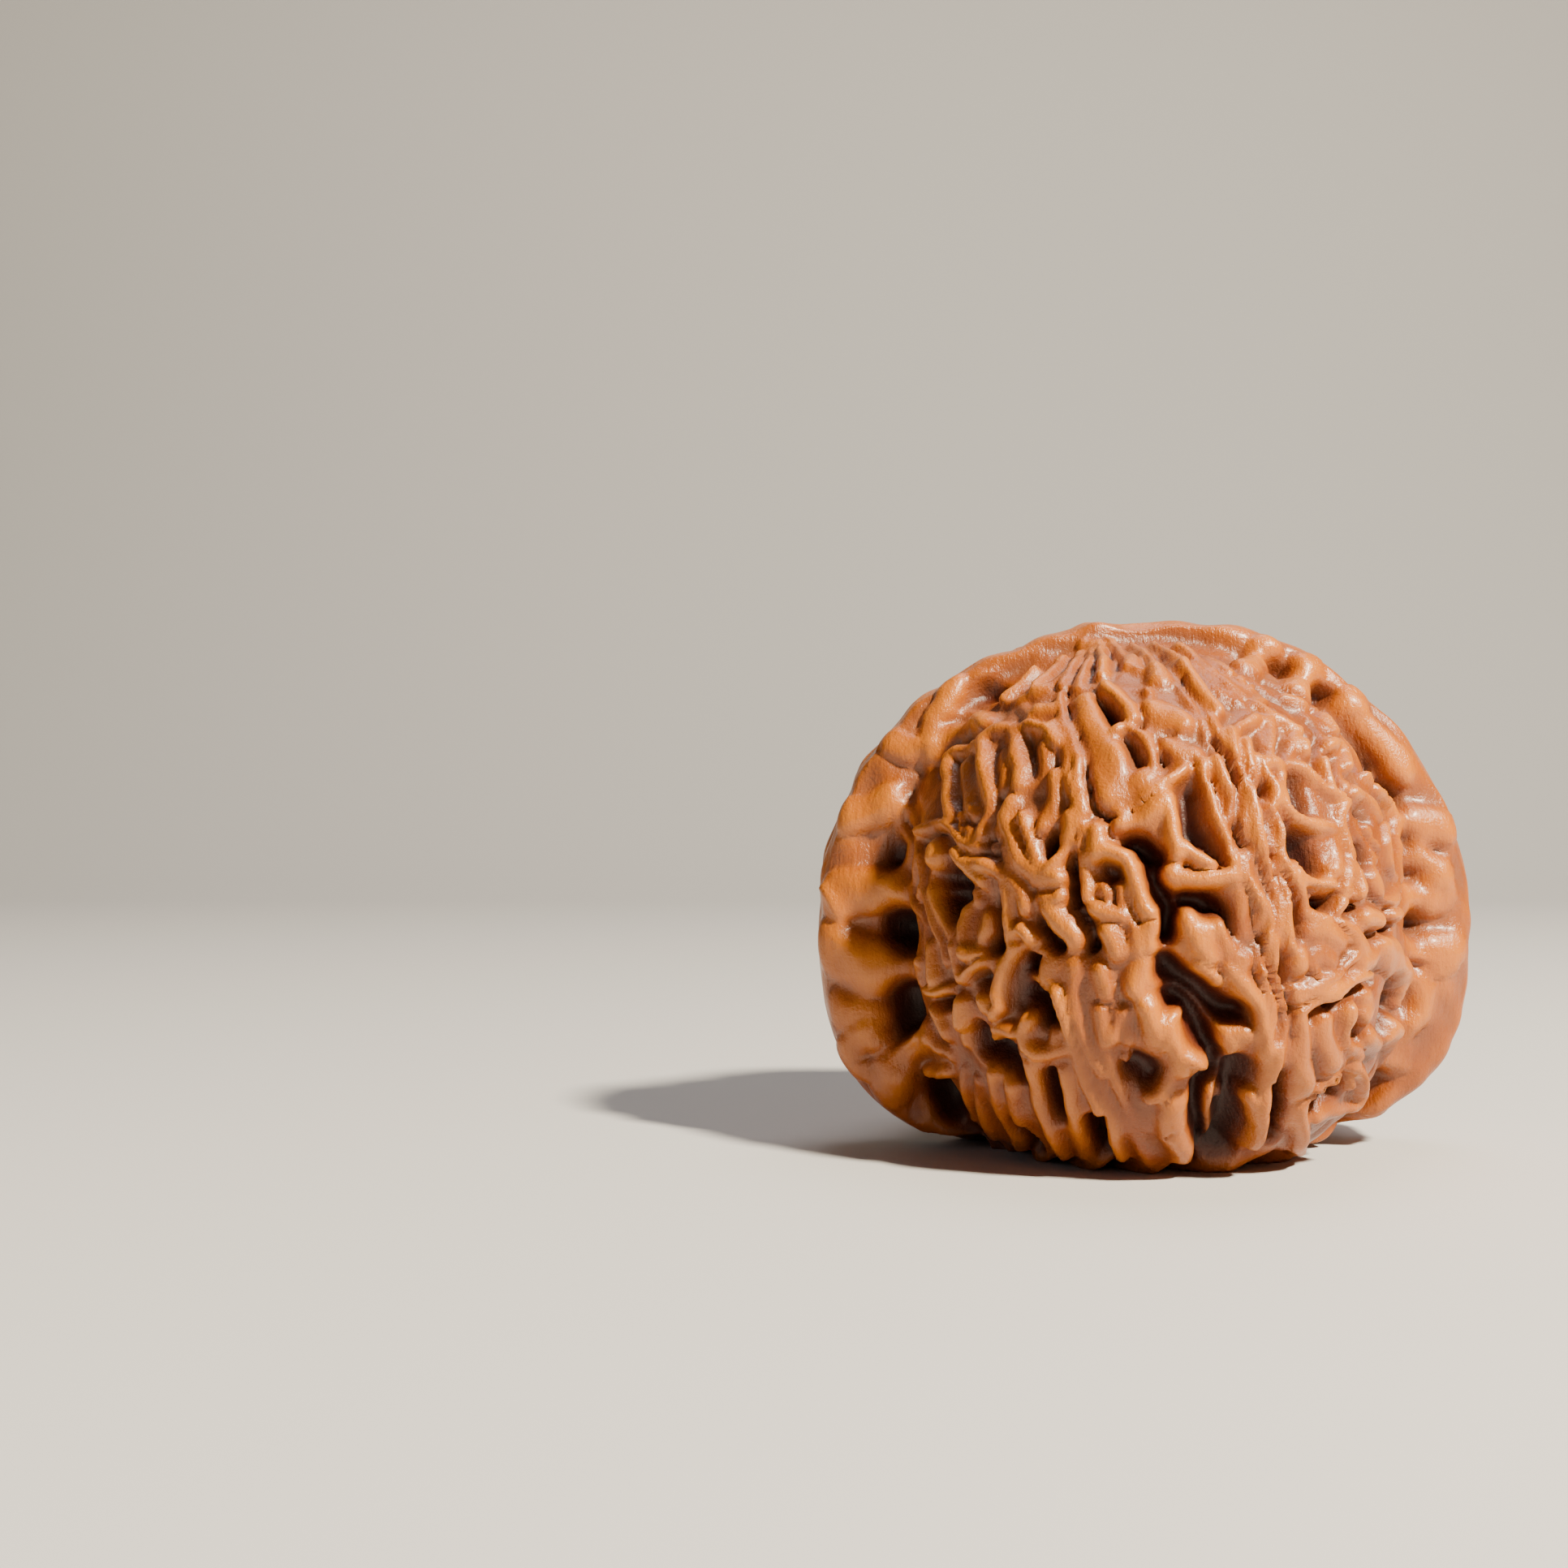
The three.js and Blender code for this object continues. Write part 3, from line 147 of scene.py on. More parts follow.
# Strokes of the ridges: [half-width, level below the outermost ridges, then points from one end on].
RIDGES = [
    # crown: left of the seam that runs down from the tip
    [0.45, -0.2, [-5.4, 30.5], [-5.3, 29.3], [-5.0, 28.2], [-4.6, 27.3], [-4.4, 26.3], [-4.2, 25.3]],
    [0.5, -0.2, [-5.9, 28.6], [-5.3, 27.6], [-5.1, 26.4], [-5.0, 25.0], [-4.8, 24.0]],
    [0.85, -0.2, [-6.9, 29.5], [-6.2, 29.6]],
    [0.45, -0.3, [-8.3, 29.9], [-7.7, 29.0]],
    [0.5, -0.3, [-9.3, 30.1], [-8.4, 30.3], [-7.5, 30.6], [-6.5, 31.1], [-5.7, 31.7], [-5.2, 32.1]],
    [0.5, 0.0, [-8.9, 28.3], [-8.0, 28.5], [-7.2, 28.4], [-6.2, 28.0], [-5.6, 27.2]],
    [0.65, 0.0, [-8.7, 28.0], [-8.5, 26.9], [-8.3, 25.7], [-8.2, 24.3]],
    [1.0, -0.3, [-12.1, 25.8], [-11.9, 24.4], [-11.7, 23.2]],
    [0.9, -0.4, [-14.6, 24.6], [-14.6, 23.4], [-14.5, 22.4]],
    [0.55, -0.35, [-9.5, 26.6], [-9.4, 25.4], [-9.4, 24.2]],
    [0.8, -0.4, [-6.7, 27.0], [-6.8, 25.6], [-7.0, 24.4]],
    [0.75, 0.0, [-9.3, 28.3], [-10.1, 28.0], [-10.8, 27.3], [-10.9, 26.0], [-10.8, 24.8], [-10.4, 23.5]],
    [0.9, 0.0, [-14.3, 26.3], [-13.4, 27.2], [-12.4, 28.1], [-11.3, 28.6], [-10.5, 28.6]],
    [0.7, -0.1, [-13.3, 26.2], [-12.4, 26.8], [-11.4, 27.0]],
    [0.8, -0.1, [-13.3, 26.0], [-13.3, 24.8], [-13.3, 23.4], [-13.1, 22.2]],
    [0.5, -0.3, [-14.7, 25.9], [-14.4, 25.0], [-14.6, 24.2]],
    [0.5, -0.4, [-14.7, 26.2], [-15.3, 25.2], [-15.9, 24.3]],
    [0.45, -0.5, [-13.0, 28.9], [-11.8, 29.2], [-10.7, 29.2]],
    # crown: the smooth plates right of the seam
    [0.95, 0.0, [-3.9, 30.2], [-3.3, 28.4], [-2.6, 26.8]],
    [1.5, 0.1, [-2.3, 26.4], [-2.0, 25.0], [-1.9, 23.7]],
    [1.1, -0.1, [0.4, 24.9], [-0.5, 24.0], [-1.2, 23.4]],
    [0.65, 0.0, [-2.4, 31.0], [-1.5, 30.4], [-0.7, 29.6], [-0.4, 28.9]],
    [1.3, 0.1, [1.2, 29.6], [2.2, 29.0], [2.6, 28.6]],
    [0.85, 0.1, [1.0, 32.4], [1.4, 31.6]],
    [0.5, -0.2, [-0.6, 33.2], [-0.2, 32.4]],
    [0.5, -0.2, [-2.6, 32.8], [-2.5, 31.9]],
    [0.45, -0.2, [-1.8, 28.1], [-1.1, 28.4], [-0.3, 28.0], [0.4, 27.5], [0.9, 26.6], [1.0, 25.6]],
    [0.8, 0.0, [2.0, 27.0], [2.9, 26.4], [3.8, 26.4]],
    [0.6, 0.1, [2.8, 32.5], [3.6, 31.3], [4.4, 30.3], [5.2, 29.3]],
    [0.55, -0.3, [3.6, 32.8], [4.6, 31.9], [5.5, 31.0], [6.6, 30.4]],
    [0.5, -0.3, [5.0, 32.3], [6.1, 31.4], [7.5, 30.6], [8.6, 30.2]],
    [0.95, -0.4, [2.3, 33.0], [3.2, 31.6], [3.9, 30.0], [4.7, 28.8]],
    [0.9, -0.1, [4.7, 28.8], [5.3, 27.3], [5.9, 26.2], [6.7, 25.1]],
    [0.5, -0.1, [8.1, 30.0], [9.0, 29.3], [9.9, 28.7], [10.8, 28.2]],
    [0.5, 0.0, [6.2, 27.9], [7.0, 28.5], [8.0, 28.9], [8.9, 28.8], [9.2, 28.0], [9.1, 27.0], [8.8, 26.2]],
    [0.45, -0.2, [10.8, 28.0], [10.6, 27.3], [10.3, 26.4], [10.0, 25.4]],
    [0.65, 0.0, [11.2, 27.2], [11.3, 26.7]],
    [0.95, 0.0, [12.8, 28.7], [13.1, 28.2]],
    [0.5, -0.1, [13.0, 27.0], [13.8, 27.1], [14.2, 26.4], [14.4, 25.5]],
    [0.55, 0.0, [12.4, 26.0], [12.7, 25.2], [13.0, 24.2]],
    [0.45, -0.4, [10.0, 30.6], [11.2, 29.9], [12.2, 29.5]],
    # the long ribs that run from the crown down to the table
    [0.5, 0.2, [4.3, 25.8], [4.6, 24.3], [5.0, 23.0], [5.4, 21.8], [5.8, 20.9], [6.1, 20.0], [6.4, 18.9]],
    [0.45, 0.2, [5.0, 25.9], [5.8, 24.4], [6.2, 23.2], [6.5, 22.1]],
    [0.45, 0.3, [5.9, 28.0], [6.2, 26.8], [6.5, 25.3], [6.8, 23.6], [7.2, 22.2], [7.2, 21.0],
     [7.2, 19.5]],
    [0.5, 0.3, [7.2, 19.5], [7.5, 18.2], [8.1, 17.0], [8.5, 15.8], [8.5, 14.4], [8.4, 12.8], [8.4, 11.4]],
    [0.5, 0.2, [8.4, 11.4], [8.9, 10.2], [9.2, 8.7], [9.3, 7.0], [9.2, 5.4], [9.1, 4.2]],
    [0.55, 0.3, [7.0, 27.2], [7.3, 25.4], [7.6, 23.4], [7.9, 21.8], [8.3, 20.2], [8.9, 18.8],
     [9.4, 17.4]],
    [0.5, 0.3, [9.4, 17.4], [9.6, 16.0], [9.5, 14.6], [9.2, 13.1], [9.1, 12.0]],
    [0.45, 0.2, [9.1, 12.0], [9.4, 10.4], [9.8, 9.0], [10.0, 7.4], [9.9, 6.0], [9.7, 4.6]],
    [0.6, 0.2, [8.8, 22.4], [9.4, 21.0], [9.7, 19.8], [9.9, 18.6], [10.3, 17.7]],
    [0.5, 0.2, [10.0, 17.6], [10.0, 16.2], [10.0, 14.8], [10.1, 13.4]],
    [0.5, 0.2, [7.8, 26.2], [8.5, 24.9], [9.2, 24.0], [9.1, 23.1]],
    [0.65, 0.2, [8.4, 25.9], [9.4, 25.7]],
    # left of the middle: bulbs, net branches and the fan of folds beside the rim
    [0.8, 0.1, [-8.8, 23.1], [-9.2, 22.2], [-9.1, 21.1], [-8.7, 20.0], [-8.3, 19.1]],
    [0.95, 0.1, [-8.1, 18.8], [-7.3, 18.2], [-6.6, 18.2]],
    [0.6, 0.1, [-7.9, 22.0], [-7.6, 21.0], [-7.3, 20.0], [-6.9, 19.0]],
    [0.6, 0.0, [-5.9, 24.9], [-6.0, 23.8], [-6.1, 22.9], [-6.4, 22.0], [-6.6, 21.3]],
    [0.75, 0.1, [-4.7, 22.1], [-4.8, 21.5], [-5.0, 20.9]],
    [0.55, 0.0, [-4.9, 20.4], [-5.2, 19.6], [-5.8, 18.9], [-6.4, 18.4]],
    [0.65, 0.0, [-7.2, 17.6], [-6.2, 17.7], [-5.5, 17.8]],
    [0.6, 0.0, [-6.9, 16.5], [-6.0, 16.3], [-5.5, 16.6]],
    [0.95, 0.1, [-6.5, 15.7], [-5.9, 15.0], [-5.3, 14.4], [-4.7, 13.8]],
    [0.9, -0.2, [-14.6, 24.4], [-14.9, 23.3], [-14.7, 22.2]],
    [0.95, 0.2, [-14.1, 20.0], [-14.1, 19.4]],
    [0.5, 0.0, [-15.1, 21.2], [-14.2, 21.7], [-13.4, 21.7], [-12.8, 21.0], [-12.2, 20.3], [-11.6, 19.8]],
    [0.6, -0.1, [-11.5, 22.8], [-11.3, 22.4]],
    [0.5, -0.2, [-11.8, 21.3], [-11.5, 21.0]],
    [0.8, -0.2, [-11.7, 20.6], [-11.2, 20.0]],
    [0.5, 0.0, [-10.4, 23.5], [-10.5, 22.5], [-10.9, 21.6], [-10.9, 20.8]],
    [0.55, -0.3, [-9.9, 21.3], [-9.8, 20.7]],
    [0.45, 0.0, [-9.5, 19.9], [-9.2, 19.2], [-9.1, 18.6]],
    [0.6, 0.1, [-12.7, 19.6], [-12.4, 18.9], [-11.8, 18.4], [-11.2, 17.9], [-10.8, 17.5]],
    [0.65, 0.1, [-12.0, 18.9], [-11.0, 18.7], [-9.9, 18.5], [-9.0, 17.8], [-8.3, 16.8], [-7.9, 15.8]],
    [0.5, -0.1, [-9.6, 18.1], [-9.4, 17.0], [-9.2, 16.0], [-9.2, 14.9], [-9.2, 13.8]],
    [0.85, -0.9, [-10.5, 16.9], [-10.4, 16.5]],
    [0.5, 0.0, [-8.3, 14.5], [-7.9, 14.1], [-7.7, 13.8]],
    [0.45, -0.4, [-16.3, 22.6], [-16.1, 21.4], [-15.8, 20.3], [-16.2, 19.2], [-16.6, 18.0],
     [-16.6, 16.8]],
    [0.5, -0.3, [-15.6, 22.6], [-15.4, 21.3], [-15.3, 20.0], [-15.6, 18.9], [-15.9, 17.4], [-15.9, 16.6]],
    [0.5, -0.3, [-15.9, 16.2], [-15.3, 15.4], [-15.0, 14.6], [-14.9, 13.6]],
    [0.5, -0.2, [-15.2, 17.2], [-14.8, 15.8], [-14.3, 14.6], [-13.8, 13.4], [-13.6, 12.4]],
    [0.65, -0.3, [-14.6, 16.8], [-14.0, 15.5], [-13.5, 14.6], [-13.1, 13.8]],
    [0.75, -0.4, [-12.3, 15.6], [-12.3, 14.6], [-12.1, 13.6]],
    [0.5, -0.2, [-10.7, 15.4], [-10.7, 14.6], [-11.0, 13.8]],
    [0.45, -0.3, [-15.3, 12.2], [-15.6, 11.6], [-15.4, 10.9]],
    [0.8, 0.0, [-14.5, 13.1], [-14.4, 12.2], [-14.2, 11.2]],
    [0.55, 0.0, [-12.9, 13.2], [-12.8, 12.2], [-12.6, 11.2]],
    [0.7, 0.1, [-11.9, 12.9], [-11.2, 12.8]],
    [0.45, 0.0, [-12.3, 11.2], [-11.6, 11.8], [-10.9, 12.3]],
    [0.75, 0.0, [-14.2, 8.8], [-13.9, 8.0], [-13.5, 7.2]],
    [0.45, 0.0, [-14.6, 10.3], [-13.9, 10.2], [-13.3, 10.4]],
    [0.65, 0.1, [-12.5, 9.5], [-12.5, 8.7], [-12.3, 7.9]],
    [0.8, 0.1, [-10.9, 9.5], [-10.8, 9.1]],
    [0.55, 0.0, [-8.9, 13.2], [-9.4, 12.2], [-9.7, 11.1], [-9.8, 10.0], [-9.7, 9.1], [-10.2, 8.4]],
    [0.6, -0.2, [-14.6, 6.9], [-14.0, 6.2], [-13.2, 5.7]],
    [0.5, 0.0, [-14.4, 4.7], [-13.8, 4.6], [-13.3, 4.6]],
    [0.55, 0.0, [-10.2, 7.5], [-9.5, 7.5], [-8.9, 7.4]],
    [0.6, 0.0, [-7.9, 8.2], [-8.2, 7.3], [-7.9, 6.4], [-7.2, 5.9], [-6.3, 5.9], [-5.4, 6.2]],
    [0.6, -0.1, [-6.1, 7.4], [-6.0, 6.7]],
    [0.85, -1.0, [-6.2, 11.8], [-6.1, 11.2]],
    [0.5, -0.3, [-12.3, 4.6], [-12.2, 3.4], [-11.9, 2.6], [-11.5, 1.4]],
    [0.55, -0.2, [-11.5, 3.9], [-11.2, 2.6], [-10.8, 1.4], [-10.2, 0.2]],
    [0.55, -0.2, [-10.3, 4.4], [-10.1, 3.0], [-9.7, 1.6], [-9.0, 0.2], [-8.4, -0.8]],
    [0.65, -0.4, [-9.0, 3.4], [-8.9, 2.2], [-8.4, 1.0]],
    [0.55, -0.2, [-7.6, 5.0], [-7.5, 3.6], [-7.3, 2.2], [-6.6, 1.0], [-5.8, -0.2], [-5.2, -1.4]],
    [0.6, -0.3, [-5.3, 4.6], [-5.0, 3.2], [-5.0, 1.8], [-4.6, 0.2], [-4.0, -1.4]],
    # the middle figure, its long dark cleft and the pillow right of it
    [0.95, 0.1, [-1.0, 21.7], [0.0, 21.9], [1.0, 22.5], [1.8, 23.3]],
    [0.6, 0.1, [2.0, 22.9], [2.3, 21.6], [2.4, 20.5], [2.4, 19.4]],
    [0.45, 0.1, [-1.4, 22.1], [-0.5, 22.7], [0.4, 23.4], [1.3, 24.1], [2.2, 24.8], [3.2, 25.4]],
    [0.75, 0.2, [-3.0, 21.1], [-3.0, 20.3], [-2.9, 19.7]],
    [0.65, 0.2, [-2.6, 20.0], [-1.7, 19.6], [-0.9, 19.4]],
    [0.5, 0.0, [-4.0, 19.6], [-4.0, 18.4], [-3.9, 17.3], [-3.8, 16.3]],
    [0.65, 0.1, [-0.6, 18.8], [-0.5, 17.8], [-0.3, 16.8], [0.0, 16.0], [0.4, 15.6]],
    [0.5, -0.2, [-1.5, 17.4], [-1.4, 16.5], [-1.2, 15.8]],
    [0.5, -0.2, [-2.7, 17.2], [-2.4, 16.6]],
    [0.8, 0.1, [-3.1, 15.8], [-2.2, 15.5], [-1.3, 15.1]],
    [0.95, 0.1, [-2.2, 14.2], [-1.7, 13.4], [-1.4, 12.9]],
    [0.7, 0.1, [-0.6, 14.4], [-0.4, 13.6], [-0.3, 12.9]],
    [0.65, 0.0, [0.4, 14.8], [0.5, 13.9], [0.6, 13.1]],
    [1.0, 0.0, [0.0, 11.8], [-0.1, 11.0], [-0.2, 10.2]],
    [0.8, 0.1, [-2.8, 11.3], [-2.6, 10.7], [-2.4, 10.1]],
    [0.7, 0.0, [-2.8, 9.0], [-2.7, 8.0], [-2.4, 6.9]],
    [1.1, 0.1, [0.4, 8.9], [0.6, 8.0], [0.8, 7.1]],
    [0.55, -0.1, [-1.1, 8.7], [-1.1, 7.8], [-0.9, 6.9]],
    [0.75, 0.0, [1.8, 7.7], [2.2, 6.6], [2.7, 5.6], [2.8, 4.6]],
    [0.5, 0.1, [3.3, 5.6], [3.9, 5.3], [4.4, 5.1]],
    [0.45, -0.2, [2.0, 8.2], [2.5, 8.4]],
    [0.55, -0.2, [2.5, 4.4], [2.0, 3.7], [1.4, 3.0], [0.6, 2.7]],
    [1.0, 0.0, [2.2, 2.6], [2.0, 1.6], [2.2, 0.6], [2.5, -0.4], [2.7, -1.6]],
    [0.8, 0.0, [2.0, 18.2], [2.8, 17.9], [3.8, 17.7], [4.8, 17.8], [5.8, 18.0], [6.6, 18.2]],
    [0.65, 0.0, [2.9, 20.0], [3.4, 19.5], [4.1, 19.1], [4.8, 18.7]],
    [0.75, 0.1, [3.2, 15.2], [3.8, 14.4], [4.2, 13.6]],
    [0.8, 0.1, [4.4, 14.4], [4.6, 13.4], [4.9, 12.6]],
    [0.8, 0.0, [5.5, 14.6], [5.9, 13.4], [6.3, 12.5], [7.0, 12.2]],
    [0.6, -0.4, [6.6, 17.6], [7.0, 16.4], [7.1, 15.2], [7.2, 13.8]],
    [0.5, -0.3, [4.1, 12.0], [4.8, 11.4], [5.3, 11.0]],
    [0.6, 0.1, [6.2, 11.6], [6.9, 10.9], [7.6, 10.0], [8.2, 9.1], [8.6, 8.0], [8.7, 6.8], [8.5, 5.8]],
    [0.5, 0.0, [8.6, 5.3], [8.9, 4.2], [8.8, 3.1], [8.4, 2.0], [8.2, 0.8], [8.0, -0.6]],
    [1.05, -0.5, [6.6, 6.8], [7.4, 7.0]],
    [0.55, -0.3, [7.8, 2.9], [8.1, 2.1], [8.1, 1.2]],
    [0.55, 0.0, [-5.7, 10.1], [-5.4, 8.7], [-5.1, 7.3], [-4.6, 6.0], [-4.1, 4.7], [-3.5, 3.4],
     [-3.0, 2.0]],
    [0.6, -0.2, [-4.5, 12.0], [-4.6, 10.4], [-4.4, 8.8], [-4.0, 7.2], [-3.5, 5.8], [-2.8, 4.5]],
    [0.5, -0.4, [-3.5, 10.4], [-3.5, 9.0], [-3.2, 7.6], [-2.6, 6.2], [-2.0, 5.2]],
    [0.5, -0.5, [-1.9, 4.8], [-1.6, 3.6], [-1.2, 2.2], [-0.6, 0.8], [0.0, -0.6], [0.4, -1.8]],
    [0.5, -0.2, [-2.9, 3.6], [-2.4, 2.0], [-1.8, 0.4], [-1.4, -1.4]],
    # right of the long ribs: the net round its hollows, and the plates below it
    [0.5, 0.0, [9.8, 25.0], [9.8, 24.0], [9.9, 23.0], [10.4, 22.3], [11.2, 21.9], [12.2, 21.6],
     [13.4, 21.3]],
    [0.55, 0.0, [10.3, 25.8], [11.3, 25.4], [12.1, 24.7], [12.9, 24.0], [13.8, 23.5]],
    [0.9, -0.6, [12.9, 22.9], [12.6, 22.5]],
    [0.5, 0.0, [14.2, 23.1], [13.9, 22.3], [14.0, 21.3], [14.4, 20.3], [14.6, 19.3], [14.3, 18.2],
     [14.1, 17.0]],
    [0.75, -0.2, [13.6, 20.5], [13.7, 19.5], [13.5, 18.5]],
    [0.6, 0.0, [10.4, 18.7], [11.2, 17.8], [12.1, 17.3], [13.2, 17.3]],
    [0.5, 0.0, [10.9, 17.4], [11.2, 16.3], [11.3, 15.5], [12.2, 15.2], [13.1, 15.0]],
    [0.5, -0.1, [14.1, 16.9], [14.0, 16.1], [13.6, 15.6]],
    [1.1, 0.1, [11.9, 14.4], [12.9, 14.0], [13.7, 13.4]],
    [0.95, 0.1, [13.8, 14.6], [14.7, 13.9], [15.3, 13.1], [15.7, 12.4]],
    [0.5, 0.0, [14.8, 18.6], [15.0, 17.6], [15.0, 16.8]],
    [0.8, -0.5, [15.5, 21.5], [16.0, 21.2]],
    [0.6, -0.3, [14.3, 24.2], [15.2, 23.8], [16.0, 23.0], [16.6, 22.0]],
    [0.5, 0.0, [15.4, 25.0], [16.2, 23.9], [17.0, 22.9], [17.5, 21.9], [17.6, 20.6], [17.8, 19.2],
     [18.0, 17.8]],
    [0.45, -0.1, [16.9, 21.4], [17.0, 20.2], [17.3, 19.0], [17.7, 18.0]],
    [1.0, -0.1, [16.3, 17.9], [16.6, 17.3]],
    [0.6, -0.1, [17.0, 16.4], [17.8, 16.6]],
    [0.85, 0.1, [15.4, 15.3], [16.2, 14.9]],
    [0.45, -0.2, [17.3, 15.5], [17.9, 15.5]],
    [0.9, 0.0, [10.9, 13.0], [10.9, 11.9]],
    [1.0, 0.0, [12.4, 12.8], [13.0, 12.2]],
    [0.45, 0.1, [10.2, 10.3], [11.2, 10.5], [12.2, 11.0], [13.2, 11.3], [14.0, 11.8], [14.6, 12.5]],
    [0.55, 0.1, [10.2, 9.5], [11.0, 9.7], [11.8, 10.2], [12.8, 10.4], [13.8, 10.6]],
    [0.5, 0.2, [10.9, 8.9], [11.6, 9.4], [12.3, 9.8], [13.1, 10.0], [14.0, 10.6], [14.8, 11.1],
     [15.6, 11.4]],
    [0.8, 0.1, [15.2, 12.1], [15.9, 12.4]],
    [1.0, -0.2, [15.7, 10.0], [15.8, 9.2], [15.5, 8.6]],
    [0.5, 0.0, [14.4, 9.0], [14.3, 8.2], [14.1, 7.3], [14.2, 6.4]],
    [0.9, -0.1, [15.8, 6.9], [16.4, 6.3]],
    [0.55, 0.0, [14.6, 6.2], [15.2, 5.6]],
    [1.0, 0.1, [10.9, 8.2], [11.0, 6.8], [11.1, 5.4], [11.2, 4.0], [10.9, 3.0]],
    [1.1, 0.1, [12.6, 8.2], [12.8, 7.0], [13.1, 6.0], [13.2, 5.3]],
    [0.45, -0.1, [13.6, 4.3], [12.8, 3.8], [12.0, 3.3], [11.2, 2.4]],
    [0.75, 0.0, [11.1, 2.2], [11.2, 1.2], [11.0, 0.2], [10.8, -1.0]],
    [0.55, 0.0, [14.8, 4.9], [15.3, 4.2], [15.3, 3.3], [14.8, 2.5], [14.0, 1.9], [13.0, 1.6],
     [12.2, 1.4]],
    [0.45, -0.3, [14.5, 4.0], [14.5, 3.5]],
]

RIM_RIDGES = [
    # walls that cross the valley between the belly and the rim, and the lips on the rim's face
    [0.7, 0.0, [-19.6, 22.2], [-18.5, 22.4], [-17.4, 22.7], [-16.7, 23.0]],
    [1.0, 0.0, [-20.6, 16.8], [-19.2, 16.8], [-18.0, 17.0], [-17.1, 17.2]],
    [1.2, 0.1, [-21.0, 13.2], [-19.8, 12.6], [-18.7, 12.0], [-17.6, 11.8]],
    [0.9, 0.0, [-20.0, 9.0], [-19.2, 8.8]],
    [0.6, 0.0, [-18.5, 7.1], [-19.3, 6.4], [-19.6, 5.6], [-19.0, 4.9]],
    [0.9, 0.0, [-17.2, 4.1], [-17.0, 3.5]],
    [0.5, -0.2, [-16.3, 4.6], [-15.8, 5.4], [-15.3, 6.3], [-14.9, 7.3]],
    [0.5, 0.0, [-17.4, 27.3], [-16.4, 26.8], [-15.6, 26.5]],
    [0.5, 0.0, [-12.9, 31.0], [-13.2, 29.7], [-13.9, 28.4], [-14.2, 27.2]],
    [0.5, 0.0, [7.3, 32.6], [8.2, 33.0], [8.7, 33.6]],
    [0.6, 0.0, [11.3, 32.3], [11.1, 31.4], [10.8, 30.8]],
    [0.5, 0.0, [14.6, 30.0], [13.8, 29.5]],
    [0.6, 0.0, [14.4, 29.1], [15.2, 28.0], [16.0, 27.1], [16.8, 26.2], [17.6, 25.2]],
    [0.8, 0.0, [20.2, 21.4], [19.2, 21.4], [18.3, 21.5]],
    [0.6, 0.0, [18.5, 19.2], [19.4, 18.6], [20.3, 18.2]],
    [0.9, 0.0, [20.2, 16.8], [19.2, 16.6], [18.4, 16.8]],
    [0.8, 0.0, [20.6, 12.7], [19.5, 12.9], [18.6, 13.0]],
    [0.8, 0.1, [16.6, 13.2], [17.3, 12.6], [17.7, 12.0]],
    [0.55, 0.1, [18.0, 11.8], [18.6, 10.9], [18.9, 9.9], [18.7, 8.8], [18.2, 7.9]],
    [0.5, -0.3, [18.0, 9.8], [17.9, 9.3]],
    [0.7, 0.0, [17.4, 7.6], [17.5, 6.6], [17.2, 5.6]],
]

